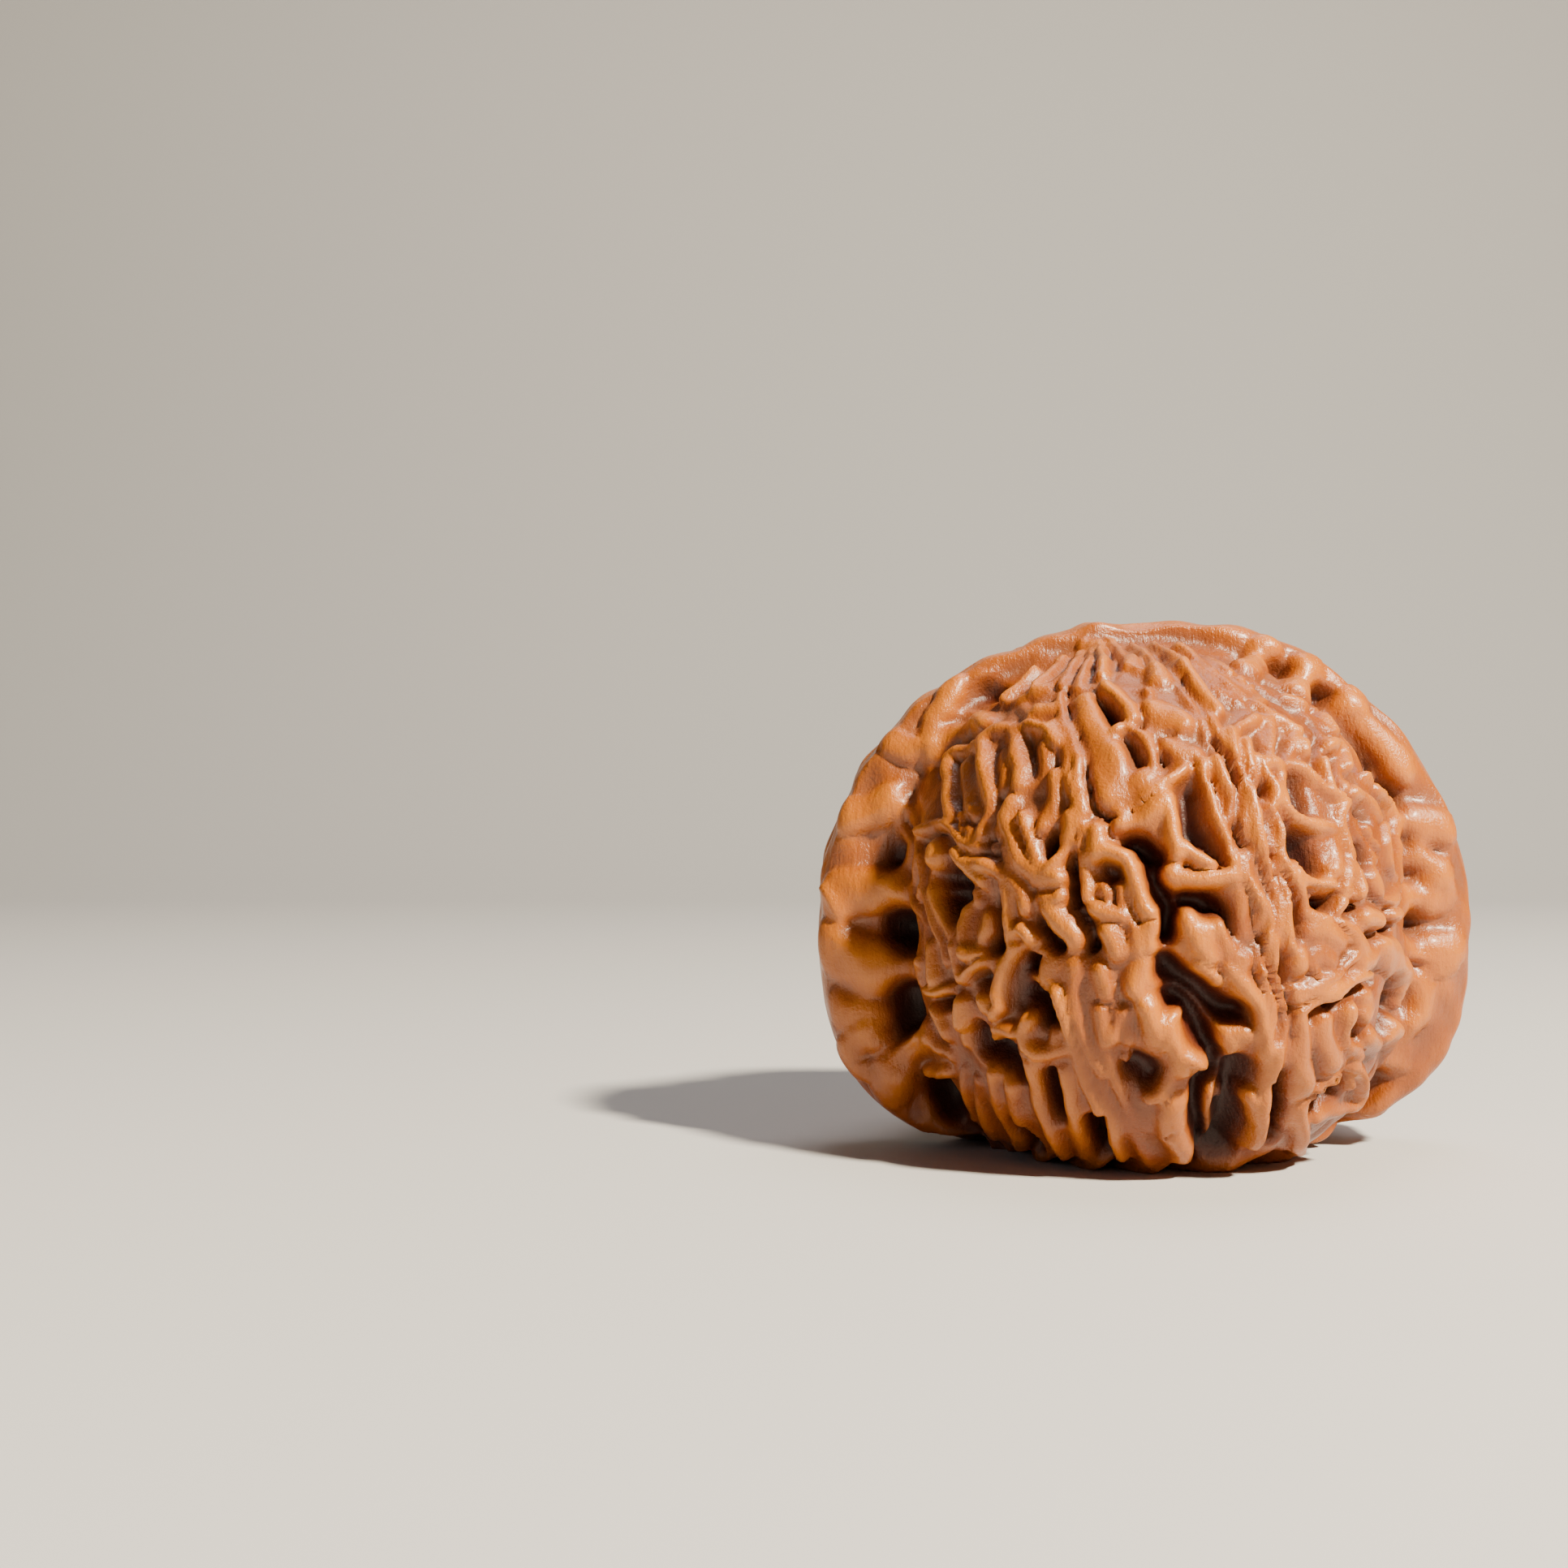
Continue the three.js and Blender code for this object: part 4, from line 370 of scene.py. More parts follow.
# Hollows: [half-width, extra depth, then points].
HOLLOWS = [
    # belly, from the crown down
    [0.45, 1.8, [-2.8, 30.3], [-2.2, 29.7], [-1.6, 28.9], [-1.3, 28.5]],
    [0.4, 1.4, [0.0, 29.4], [-0.1, 28.4]],
    [0.55, 1.2, [-0.7, 27.7], [-0.1, 26.4], [0.4, 25.2]],
    [0.5, 1.2, [1.3, 27.0], [1.6, 26.2]],
    [0.35, 0.9, [-7.9, 27.6], [-7.6, 26.2], [-7.2, 24.9]],
    [0.6, 0.3, [-6.6, 26.6], [-6.5, 25.2], [-6.9, 23.9]],
    [0.3, 0.7, [-9.7, 26.8], [-9.5, 25.6], [-9.5, 24.3], [-9.6, 23.6]],
    [0.8, 0.3, [-12.1, 25.6], [-12.1, 24.4]],
    [0.4, 0.6, [-12.7, 23.4], [-12.6, 22.2]],
    [0.6, 0.7, [7.4, 27.2], [7.5, 26.9]],
    [0.6, 0.8, [9.6, 27.4], [9.7, 26.6]],
    [1.0, 1.5, [10.9, 24.6], [11.0, 23.6], [11.2, 22.9]],
    [0.5, 1.2, [13.4, 26.5], [13.3, 25.2], [13.5, 24.6]],
    [0.45, 1.0, [7.9, 24.3], [8.5, 23.4]],
    [1.1, 1.4, [3.4, 24.0], [3.3, 22.8], [3.3, 21.6], [3.9, 20.8]],
    [0.6, 1.0, [4.6, 20.4], [5.2, 19.4], [5.7, 18.8]],
    [1.2, 1.6, [11.2, 20.3], [11.6, 19.4], [11.8, 18.6]],
    [0.85, 1.5, [12.7, 16.2], [13.3, 16.1]],
    [0.5, 1.0, [10.6, 16.4], [10.6, 15.2], [10.7, 14.0], [10.9, 13.4]],
    [0.6, 0.9, [15.5, 22.3], [15.8, 22.0]],
    [0.8, 1.2, [15.7, 19.8], [15.8, 19.1]],
    [0.3, 1.6, [13.5, 15.3], [14.4, 15.9], [15.4, 16.5]],
    [0.4, 1.9, [-6.1, 21.0], [-6.0, 20.0], [-6.0, 19.3]],
    [0.6, 1.0, [-10.6, 20.6], [-10.3, 19.8]],
    [0.9, 1.0, [-2.1, 18.7], [-2.0, 18.1]],
    [0.45, 1.9, [-4.6, 19.4], [-4.6, 17.9], [-4.5, 16.4], [-4.2, 15.4], [-3.8, 14.2], [-3.4, 13.2]],
    [0.75, 2.0, [-0.7, 20.5], [0.3, 20.1], [0.9, 19.4], [1.0, 18.2], [1.2, 17.2], [1.8, 16.2],
     [1.9, 15.2], [1.8, 14.2]],
    [0.9, 1.9, [3.2, 16.7], [4.4, 16.3], [5.2, 15.9], [5.8, 15.0], [6.1, 14.2]],
    [1.3, 2.0, [-13.5, 17.9], [-12.9, 17.0]],
    [1.0, 1.8, [-13.6, 16.6], [-13.2, 15.9]],
    [0.5, 1.8, [-10.0, 16.4], [-9.8, 15.0], [-9.8, 13.9], [-10.2, 13.3]],
    [0.4, 1.8, [-7.3, 15.6], [-7.0, 14.5], [-6.5, 13.8], [-5.8, 13.2]],
    [0.9, 1.0, [-11.4, 11.4], [-10.9, 10.8]],
    [0.8, 0.8, [-8.5, 11.8], [-8.5, 10.4], [-8.6, 9.2]],
    [0.7, 2.0, [-7.5, 12.6], [-7.7, 11.9]],
    [1.1, 2.0, [-7.6, 10.0], [-6.8, 9.2], [-6.5, 8.4]],
    [1.1, 2.0, [1.8, 11.8], [2.8, 11.0], [4.0, 10.2], [5.0, 9.3], [6.2, 8.6], [7.4, 8.5]],
    [1.2, 2.0, [2.4, 9.6], [3.6, 8.6], [4.4, 7.3]],
    [1.0, 2.0, [4.4, 7.2], [5.2, 5.6], [5.4, 4.2], [4.4, 3.4]],
    [1.5, 2.0, [6.8, 4.3], [6.6, 3.0], [6.4, 1.6], [6.0, -0.5], [5.4, -1.6]],
    [0.6, 2.0, [3.9, 3.0], [3.9, 1.6], [4.1, 0.0], [4.2, -1.6]],
    [0.5, 2.0, [9.7, 4.6], [9.6, 3.2], [9.6, 1.6], [9.4, -0.4]],
    [0.5, 1.9, [12.0, 8.4], [12.4, 9.1], [13.0, 9.5]],
    [0.4, 1.9, [13.2, 9.2], [14.3, 9.9], [15.3, 10.5], [16.1, 11.1]],
    [1.0, 2.0, [13.8, 3.3], [13.0, 2.8], [12.5, 2.4]],
    [0.6, 1.4, [14.8, 7.6], [15.1, 7.0]],
    [0.4, 1.9, [15.9, 14.1], [16.6, 14.0], [17.4, 14.7]],
    [1.2, 1.4, [-0.6, 5.0], [0.4, 4.4], [0.7, 3.8]],
    [1.5, 2.0, [-13.6, 2.9], [-13.4, 1.6]],
    [0.8, 2.0, [-11.5, 7.2], [-11.2, 6.0], [-10.4, 5.6], [-9.4, 5.9]],
    [0.9, 2.0, [-10.2, 5.2], [-9.0, 4.9], [-8.6, 4.2]],
    [0.7, 2.0, [-8.9, 0.6], [-7.7, -0.4], [-7.2, -1.2]],
    [0.7, 2.0, [-6.2, 4.0], [-6.2, 2.6], [-5.9, 1.2]],
    [0.8, 2.0, [-3.4, 0.8], [-2.8, -0.6], [-2.4, -1.6]],
    [0.6, 2.0, [-14.0, 9.5], [-13.5, 9.5]],
    # cells on the rim's face
    [0.8, 1.0, [-14.4, 29.9], [-13.6, 30.2]],
    [0.7, 1.0, [-15.0, 28.4], [-14.8, 28.0]],
    [0.7, 1.0, [-16.6, 26.0], [-16.3, 25.6]],
    [0.8, 1.0, [-10.9, 30.9], [-9.6, 30.8]],
    [1.1, 1.0, [-18.4, 24.3], [-18.3, 23.6]],
    [1.5, 2.0, [-18.0, 20.4], [-17.9, 19.4]],
    [1.5, 2.0, [-18.6, 14.7], [-17.2, 14.4], [-16.3, 14.0]],
    [1.5, 2.0, [-17.0, 10.0], [-16.6, 9.0], [-16.6, 7.8]],
    [0.8, 1.0, [-19.8, 10.5], [-19.6, 10.2]],
    [0.6, 1.6, [-18.8, 6.4], [-18.5, 6.0]],
    [0.7, 1.6, [-18.1, 4.7], [-17.8, 4.5]],
    [1.0, 2.0, [-15.6, 2.9], [-15.0, 1.9]],
    [0.6, 1.0, [6.3, 33.3], [7.6, 33.0]],
    [0.6, 1.4, [8.6, 32.5], [10.0, 32.0]],
    [0.6, 1.4, [11.4, 30.9], [13.0, 30.3]],
    [0.9, 0.8, [13.6, 28.8], [14.5, 27.6], [15.4, 26.0]],
    [0.9, 1.8, [17.3, 23.8], [18.5, 23.6]],
    [0.8, 1.2, [19.4, 19.8], [19.9, 19.6]],
    [0.8, 1.2, [18.6, 18.2], [19.0, 17.8]],
    [0.8, 1.2, [19.2, 15.3], [20.3, 15.0]],
    [1.0, 1.6, [17.6, 10.6], [17.3, 9.4], [17.8, 8.8], [17.2, 8.0]],
    [0.6, 1.6, [16.2, 4.5], [16.1, 4.2]],
]

# Finer ridges, kept to the dressed surface.
FINE_RIDGES = [
    [0.4, -0.15, [-5.4, 31.2], [-4.9, 32.3], [-4.3, 33.3], [-3.8, 34.1]],
    [0.4, -0.15, [-4.3, 31.0], [-4.0, 32.2], [-3.6, 33.2], [-3.3, 34.0]],
    [0.4, -0.15, [-2.6, 32.4], [-2.8, 33.3], [-2.8, 34.0]],
    [0.4, -0.15, [-0.9, 32.6], [-1.4, 33.4], [-1.9, 34.1]],
    [0.4, -0.15, [1.2, 32.2], [0.4, 33.2], [-0.5, 34.0]],
    [0.4, -0.15, [3.0, 32.4], [2.0, 33.3], [0.9, 34.0]],
    [0.4, -0.15, [5.0, 32.2], [3.8, 33.1], [2.6, 33.8]],
    [0.4, -0.15, [7.6, 31.2], [6.2, 32.2], [4.8, 33.1]],
    [0.4, -0.15, [-7.4, 30.8], [-6.4, 32.0], [-5.4, 33.1]],
    [0.4, -0.15, [-9.6, 30.2], [-8.6, 31.2], [-7.4, 32.1]],
    [0.25, 0.0, [-4.2, 26.3], [-4.2, 24.9], [-4.1, 24.0], [-3.9, 23.2], [-3.6, 22.4]],
    [0.25, 0.0, [-4.8, 24.8], [-4.6, 23.8], [-4.4, 23.1], [-4.0, 22.3], [-3.9, 21.4],
     [-4.1, 20.6], [-4.4, 20.0]],
    [0.25, 0.1, [5.3, 25.2], [5.4, 24.2], [5.5, 23.0], [5.8, 22.0], [6.0, 21.2]],
    [0.25, 0.1, [6.8, 25.6], [7.6, 24.2], [8.2, 23.1], [8.5, 22.0], [8.8, 20.8], [9.0, 19.6],
     [9.2, 18.6], [9.6, 17.5]],
    [0.2, -1.0, [-4.4, 16.0], [-4.1, 15.0], [-3.7, 14.3], [-3.3, 13.5]],
    [0.3, -0.2, [-15.2, 19.6], [-15.2, 18.6], [-15.1, 17.6], [-15.4, 16.6]],
    [0.3, -0.1, [-12.3, 22.2], [-12.3, 21.4]],
    [0.3, -0.3, [-10.3, 20.2], [-10.3, 19.8]],
    [0.35, -0.3, [-11.6, 16.8], [-11.6, 16.3]],
    [0.3, -0.2, [-9.3, 14.8], [-9.1, 14.8], [-8.9, 14.6], [-8.8, 14.3], [-9.0, 14.0], [-9.3, 14.1]],
    [0.35, -0.2, [-9.2, 13.8], [-9.0, 13.1]],
    [0.3, -0.6, [-8.0, 13.3], [-7.4, 13.0], [-6.8, 12.9]],
    [0.3, -0.8, [-7.6, 11.3], [-7.2, 10.8], [-6.8, 10.3], [-6.1, 10.0]],
    [0.25, -0.7, [-6.9, 12.4], [-6.9, 11.5], [-6.6, 10.8], [-6.0, 10.4], [-5.6, 10.7], [-5.4, 11.5]],
    [0.25, 0.0, [-1.9, 10.5], [-1.8, 9.5], [-1.7, 8.4], [-1.8, 7.4], [-1.9, 6.8]],
    [0.35, -0.1, [-1.5, 8.7], [-1.4, 8.5]],
    [0.3, 0.1, [1.9, 7.6], [1.8, 6.9], [1.5, 6.2]],
    [0.3, -0.6, [-2.0, 5.7], [-1.9, 5.3]],
    [0.35, -0.4, [-1.2, 5.7], [-1.0, 5.5]],
    [0.3, 0.0, [5.8, 11.9], [6.5, 11.8], [7.0, 11.7]],
    [0.35, 0.0, [-0.6, 19.2], [-0.4, 18.4]],
    [0.35, 0.0, [0.7, 15.7], [0.9, 15.1], [1.0, 14.2]],
    [0.45, -1.9, [0.8, 18.9], [1.0, 18.6]],
    [0.45, -1.9, [5.8, 2.4], [5.9, 1.9]],
    [0.3, -0.3, [8.3, 27.6], [8.5, 26.6], [8.7, 26.0]],
    [0.35, -0.1, [0.5, 30.9], [0.7, 30.6]],
    [0.3, 0.0, [11.9, 12.9], [11.9, 12.0], [12.1, 11.4]],
    [0.3, 0.0, [13.7, 15.0], [14.2, 14.1], [14.8, 13.5], [15.1, 12.6]],
    [0.3, -0.2, [16.2, 20.5], [16.6, 20.0], [16.7, 19.2]],
    [0.35, -0.2, [17.6, 16.9], [18.0, 17.3]],
    [0.35, -0.6, [-12.4, 7.0], [-12.2, 6.4]],
    [0.3, -0.2, [-16.4, 5.9], [-15.9, 6.7], [-15.2, 7.3]],
    [0.3, 0.0, [-21.3, 17.2], [-20.9, 16.4], [-20.4, 15.5], [-20.1, 14.9]],
    [0.3, -0.2, [18.6, 12.6], [19.6, 12.3], [20.6, 12.1], [21.2, 11.7]],
]

# Thin creases: [half-width, depth, then points].
CREASES = [
    [0.3, 0.5, [8.6, 31.9], [9.8, 31.2], [11.0, 30.4], [12.2, 29.2], [13.0, 28.2]],
    [0.3, 0.5, [6.4, 32.0], [7.8, 31.6], [9.2, 30.8]],
    [0.3, 0.6, [8.9, 29.9], [9.8, 29.3], [10.7, 28.7], [11.6, 28.0]],
    [0.3, 0.6, [11.8, 28.9], [12.4, 27.9], [12.0, 26.8], [12.2, 25.6], [12.7, 24.6]],
    [0.3, 0.7, [14.5, 27.0], [15.0, 25.6], [15.8, 24.6], [16.4, 23.2], [16.9, 21.9]],
    [0.3, 0.7, [14.4, 24.9], [14.6, 23.4], [14.4, 22.2], [14.8, 21.0], [15.0, 19.8], [14.9, 18.7]],
    [0.3, 0.6, [15.6, 23.2], [15.4, 21.6], [16.0, 20.6], [16.7, 19.6], [16.6, 18.4]],
    [0.3, 0.6, [15.3, 18.2], [15.6, 17.2], [16.2, 16.4], [17.2, 15.9]],
    [0.3, 0.6, [10.2, 22.0], [10.1, 20.8], [10.2, 19.6], [10.5, 18.6]],
    [0.3, 0.6, [11.6, 16.9], [12.0, 17.0], [13.0, 17.1], [13.9, 16.8]],
    [0.25, 0.75, [4.7, 24.9], [5.1, 24.0], [5.4, 23.0], [5.7, 22.0], [6.0, 21.0], [6.3, 19.6]],
    [0.25, 0.75, [6.1, 25.6], [6.5, 24.6], [6.9, 23.5], [7.2, 22.4], [7.2, 21.3], [7.2, 20.2]],
    [0.3, 1.05, [7.2, 20.2], [7.4, 19.2], [7.7, 18.2], [8.1, 17.2], [8.4, 16.0], [8.4, 14.8],
     [8.2, 13.6]],
    [0.3, 1.05, [8.2, 13.6], [8.4, 12.4], [8.7, 11.3], [9.1, 10.2], [9.5, 9.3], [9.6, 8.2], [9.2, 6.8]],
    [0.3, 0.90, [6.6, 25.8], [7.3, 24.6], [7.9, 23.6], [8.2, 22.6], [8.5, 21.6], [8.8, 20.6],
     [9.1, 19.4]],
    [0.3, 1.05, [9.1, 19.4], [9.3, 18.2], [9.5, 17.0], [9.5, 15.6], [9.4, 14.2], [9.5, 12.8],
     [9.8, 11.4]],
    [0.35, 1.05, [9.8, 11.4], [10.1, 10.2], [10.2, 8.8], [10.1, 7.4], [9.9, 6.0], [9.8, 4.6]],
    [0.3, 0.90, [5.0, 27.4], [5.6, 26.4], [6.2, 25.2], [6.6, 24.0], [6.5, 22.6], [6.6, 21.4],
     [6.9, 20.2]],
    [0.3, 1.05, [8.9, 22.2], [9.3, 20.8], [9.6, 19.4], [9.9, 18.2], [10.3, 17.0]],
    [0.25, 0.6, [2.6, 31.8], [3.4, 30.6], [4.2, 29.4], [4.6, 28.2], [5.2, 27.0]],
    [0.25, 0.5, [4.2, 32.2], [5.2, 31.4], [6.2, 30.6], [7.4, 30.2]],
    [0.25, 0.5, [7.4, 31.4], [8.6, 30.9], [9.8, 30.4], [11.0, 29.6]],
    [0.16, 0.9, [-5.1, 31.2], [-5.0, 29.6], [-4.7, 28.5], [-4.2, 27.4], [-3.9, 26.4],
     [-3.7, 25.2], [-3.4, 24.0]],
    [0.2, 1.2, [-3.4, 24.0], [-3.2, 23.0], [-2.8, 22.4], [-2.1, 22.0], [-1.5, 22.0]],
    [0.12, 0.5, [-1.5, 22.0], [-0.7, 22.3], [0.2, 23.0], [1.2, 23.8], [2.1, 24.5], [3.0, 25.1]],
    [0.12, 0.5, [-4.8, 30.4], [-4.1, 30.5], [-3.4, 30.5]],
    [0.14, 0.6, [1.0, 27.5], [1.7, 27.8], [2.6, 27.8], [3.3, 27.5], [3.9, 27.2]],
    [0.14, 0.6, [2.1, 24.8], [3.0, 25.3], [4.0, 25.8]],
    [0.12, 0.4, [6.1, 29.8], [7.1, 29.8], [8.3, 29.6]],
    [0.12, 0.4, [6.6, 28.7], [7.5, 29.1], [8.5, 29.3]],
    [0.12, 0.4, [12.0, 27.4], [12.9, 27.5], [13.8, 27.6]],
    [0.14, 0.8, [-8.2, 21.9], [-8.0, 20.9], [-7.8, 20.0]],
    [0.16, 0.9, [-14.9, 20.5], [-14.2, 21.0], [-13.5, 21.1], [-13.0, 20.7], [-12.6, 20.2]],
    [0.12, 0.5, [-7.5, 17.1], [-6.9, 16.9], [-6.1, 16.9], [-5.4, 17.1]],
    [0.14, 0.6, [-2.0, 17.2], [-1.9, 16.6], [-1.8, 16.1]],
    [0.12, 0.5, [-3.6, 16.3], [-2.9, 16.4], [-2.2, 16.2], [-1.6, 15.9]],
    [0.12, 0.5, [-0.3, 14.8], [0.3, 15.2], [0.9, 15.4]],
    [0.12, 0.5, [-3.3, 14.9], [-2.5, 14.8], [-1.5, 14.7], [-0.8, 14.3]],
    [0.14, 0.7, [3.0, 18.8], [3.7, 18.4], [4.6, 18.3], [5.3, 18.4], [6.2, 18.3]],
    [0.14, 0.7, [-1.3, 12.0], [-1.6, 11.0], [-1.7, 10.0], [-1.7, 9.0]],
    [0.12, 0.5, [-0.9, 9.2], [0.0, 9.6], [0.6, 10.3]],
    [0.12, 0.5, [-3.0, 9.7], [-2.3, 9.3], [-2.0, 9.6]],
    [0.12, 0.5, [1.1, 2.0], [1.6, 2.5], [2.1, 3.0]],
    [0.12, 0.4, [1.9, 0.3], [2.9, 0.9]],
    [0.14, 0.7, [10.0, 10.5], [11.0, 10.6], [12.0, 11.1], [13.0, 11.4], [13.8, 11.9], [14.3, 12.6]],
    [0.14, 0.6, [10.1, 9.0], [10.8, 9.0], [11.5, 9.6], [12.1, 10.0], [12.8, 10.1]],
    [0.12, 0.5, [14.2, 11.3], [15.0, 11.7], [15.8, 11.7]],
    [0.14, 0.8, [10.9, 2.2], [11.8, 3.1], [12.7, 3.7], [13.6, 4.3], [13.9, 4.6]],
    [0.12, 0.5, [14.4, 3.0], [15.0, 3.2]],
    [0.14, 0.7, [14.6, 18.8], [14.3, 18.0], [14.2, 17.2], [14.1, 16.6]],
    [0.12, 0.5, [17.1, 20.4], [17.4, 19.4], [17.8, 18.3]],
    [0.12, 0.4, [9.7, 16.3], [10.2, 16.5], [10.5, 16.6]],
    [0.14, 0.6, [13.4, 15.0], [13.8, 14.4], [14.4, 13.8], [14.5, 13.0]],
    [0.12, 0.5, [-12.1, 11.8], [-11.5, 12.3], [-11.0, 12.6]],
    [0.14, 0.6, [-11.8, 9.8], [-11.3, 9.0], [-10.9, 8.4]],
    [0.14, 0.6, [-7.0, 6.0], [-6.8, 6.7], [-6.5, 7.3]],
    [0.12, 0.5, [7.0, 5.4], [7.5, 5.3], [8.2, 5.5]],
]


def smooth(t):
    t = np.clip(t, 0, 1)
    return t * t * (3 - 2 * t)


def mix(a, b, t):
    return a + (b - a) * t


def soft_max(a, b, soft):
    t = np.maximum(soft - np.abs(a - b), 0) / soft
    return np.maximum(a, b) + t * t * soft * 0.25


def unit(v):
    return v / np.linalg.norm(v, axis=-1, keepdims=True)


def oval_radius(flat, up, size):
    """Superellipse whose lower half is squarer than its upper half."""
    rounding = np.where(up > 0, size["round_up"], size["round_down"])
    reach = np.where(up > 0, size["up"], size["down"])
    return (flat ** rounding + np.abs(up / reach) ** rounding) ** (-1 / rounding)


def turned(x, z, angle):
    return x * math.cos(angle) + z * math.sin(angle), z * math.cos(angle) - x * math.sin(angle)


def belly_radius(d):
    x, z = turned(d[:, 0], d[:, 2], BELLY["tilt"])
    radius = oval_radius(np.hypot(x / BELLY["x"], d[:, 1] / BELLY["y"]), z, BELLY)
    return radius + BELLY["shift"] * d[:, 0]


def rim_outline(dx, dz, flat):
    x, z = turned(dx / flat, dz / flat, RIM["tilt"])
    radius = oval_radius(np.abs(x) / RIM["x"], z, RIM)
    across = dx / flat * radius
    wave = RIM_WAVE * np.sin(across * 1.1 + 2) * np.sin(across * 0.37 + z * 5)
    for at, rise, wide in RIM_BUMPS:
        wave += np.where(dz > 0, rise * np.exp(-((across - at) / wide) ** 2), 0)
    return radius + wave


def rim_radius(d):
    flat = np.maximum(np.hypot(d[:, 0], d[:, 2]), 1e-6)
    outline = rim_outline(d[:, 0], d[:, 2], flat)
    spread = RIM["spread"]
    side = (RIM["half"] + spread * outline) / (np.abs(d[:, 1]) + spread * flat)
    return -soft_max(-side, -outline / flat, CREST_SOFT)


def envelope_radius(d):
    return soft_max(belly_radius(d), rim_radius(d), JOIN_SOFT)


def envelope(d):
    """Smooth body, as high as its outermost ridges."""
    return MIDDLE + d * envelope_radius(d)[:, None]


def on_body(points):
    """Where the lines from EYE through points [x, z] of the rim's plane meet the body."""
    points = np.asarray(points, float)
    far = np.column_stack([points[:, 0], np.zeros(len(points)), points[:, 1]])
    line = far - EYE
    hit = np.ones(len(points))
    searching = np.ones(len(points), bool)
    for t in np.arange(0.84, 1.06, 0.001):
        off = EYE + line * t - MIDDLE
        away = np.linalg.norm(off, axis=1)
        inside = searching & (away < envelope_radius(off / away[:, None]))
        hit[inside] = t
        searching &= ~inside
    return EYE + line * hit[:, None], hit


def laid_strokes(strokes, margin):
    """Strokes carried on to the body, as (points, half-widths, level)."""
    spots, scale = on_body([point for stroke in strokes for point in stroke[2:]])
    ends = np.cumsum([len(stroke) - 2 for stroke in strokes])[:-1]
    pairs = zip(strokes, np.split(spots, ends), np.split(scale, ends))
    return [(own, stroke[0] * size * SPREAD + margin, stroke[1]) for stroke, own, size in pairs]


def reach(p, start, end, half):
    """Distance from the straight piece start to end, 1 at the stroke's edge."""
    along = end - start
    t = np.clip((p - start) @ along / max(along @ along, 1e-9), 0, 1)
    return np.linalg.norm(p - start - t[:, None] * along, axis=1) / half


def nearest(p, stroke):
    """Points of p that a stroke covers, and how far off its middle line they are."""
    spots, half, _ = stroke
    middle = (spots.min(0) + spots.max(0)) / 2
    far = np.linalg.norm(spots - middle, axis=1).max() + half.max()
    covered = np.flatnonzero(((p - middle) ** 2).sum(1) < far * far)
    q = np.full(len(covered), 9.0)
    for start, end, width in zip(spots, spots[1:], half):
        q = np.minimum(q, reach(p[covered], start, end, width))
    return covered[q < 1], q[q < 1]


def wobble(p, pitch, seed):
    """Slow wander of all three coordinates, about 1 at most."""
    turns = np.array([[0.9, 1.7, 1.3], [1.6, -0.8, 1.1], [-1.2, 1.4, 0.9]]) / pitch
    wave = np.sin(p @ turns + seed) + 0.5 * np.sin(p @ (turns.T * 2.1) + seed * 2.7)
    return wave / 1.5


def relief(d, strokes):
    """Height of the drawn relief in directions d of the near half."""
    p = envelope(d)
    p += WANDER * wobble(p, 1.6, 0.4) + QUIVER * wobble(p, 0.5, 1.9)
    lumps = wobble(p, LUMP_PITCH, 3.1)
    above = rim_radius(d) - belly_radius(d)
    on_rim = smooth(above / 1.5)
    near_tip = smooth((d[:, 2] - 0.7) / 0.2)
    across = (above - VALLEY["at"]) / VALLEY["wide"]
    valley = VALLEY["depth"] * (1 - 0.7 * near_tip)
    level = mix(LEVEL, RIM_LEVEL, on_rim) - valley * np.exp(-across ** 2)
    floor = level + GROUND_LUMPS * lumps[:, 0]
    for hollow in strokes["hollows"]:
        covered, q = nearest(p, hollow)
        on_crown = smooth((p[covered, 2] - CROWN_FROM) / CROWN_OVER)
        deep = mix(1, RIM_HOLLOWS, on_rim[covered]) * hollow[2]
        deep = deep * mix(1, CROWN_HOLLOWS, on_crown)
        sunk = level[covered] + HOLLOW_LIP - (deep + HOLLOW_LIP) * (1 - q * q) ** 1.3
        floor[covered] = -soft_max(-floor[covered], -sunk, HOLLOW_SOFT)
    height = floor.copy()
    for kind, soft in (("ridges", RIDGE_SOFT), ("rim", RIM_SOFT)):
        for ridge in strokes[kind]:
            covered, q = nearest(p, ridge)
            top = ridge[2] + RIDGE_LUMPS * lumps[covered, 1]
            raised = mix(floor[covered] - FOOT, top, (1 - q ** 2.2) ** 0.9)
            height[covered] = soft_max(height[covered], raised, soft)
    around = np.arctan2(p[:, 0], -p[:, 1]) * 16 + 0.35 * wobble(p, 3.0, 5.2)[:, 2]
    wrinkles = np.sin(around * WRINKLE_PITCH) * (0.6 + 0.4 * lumps[:, 2])
    height += WRINKLE * (1 - on_rim) * wrinkles
    for crease in strokes["creases"]:
        covered, q = nearest(p, crease)
        height[covered] -= crease[2] * (1 - q)
    return height


def base_relief(p):
    """Ribs under the base run out from the scar in the middle."""
    away = np.hypot(p[:, 0], p[:, 1])
    turn = np.arctan2(p[:, 1], p[:, 0]) + 0.12 * np.sin(away * 0.9)
    rib = np.abs(np.cos(turn * BASE_RIBS / 2 + np.sin(turn * 3)))
    ring = smooth((away - SCAR_RADIUS) / 1.2)
    return mix(BASE_DEPTH, mix(BASE_DEPTH, 0, rib ** 0.6), ring)


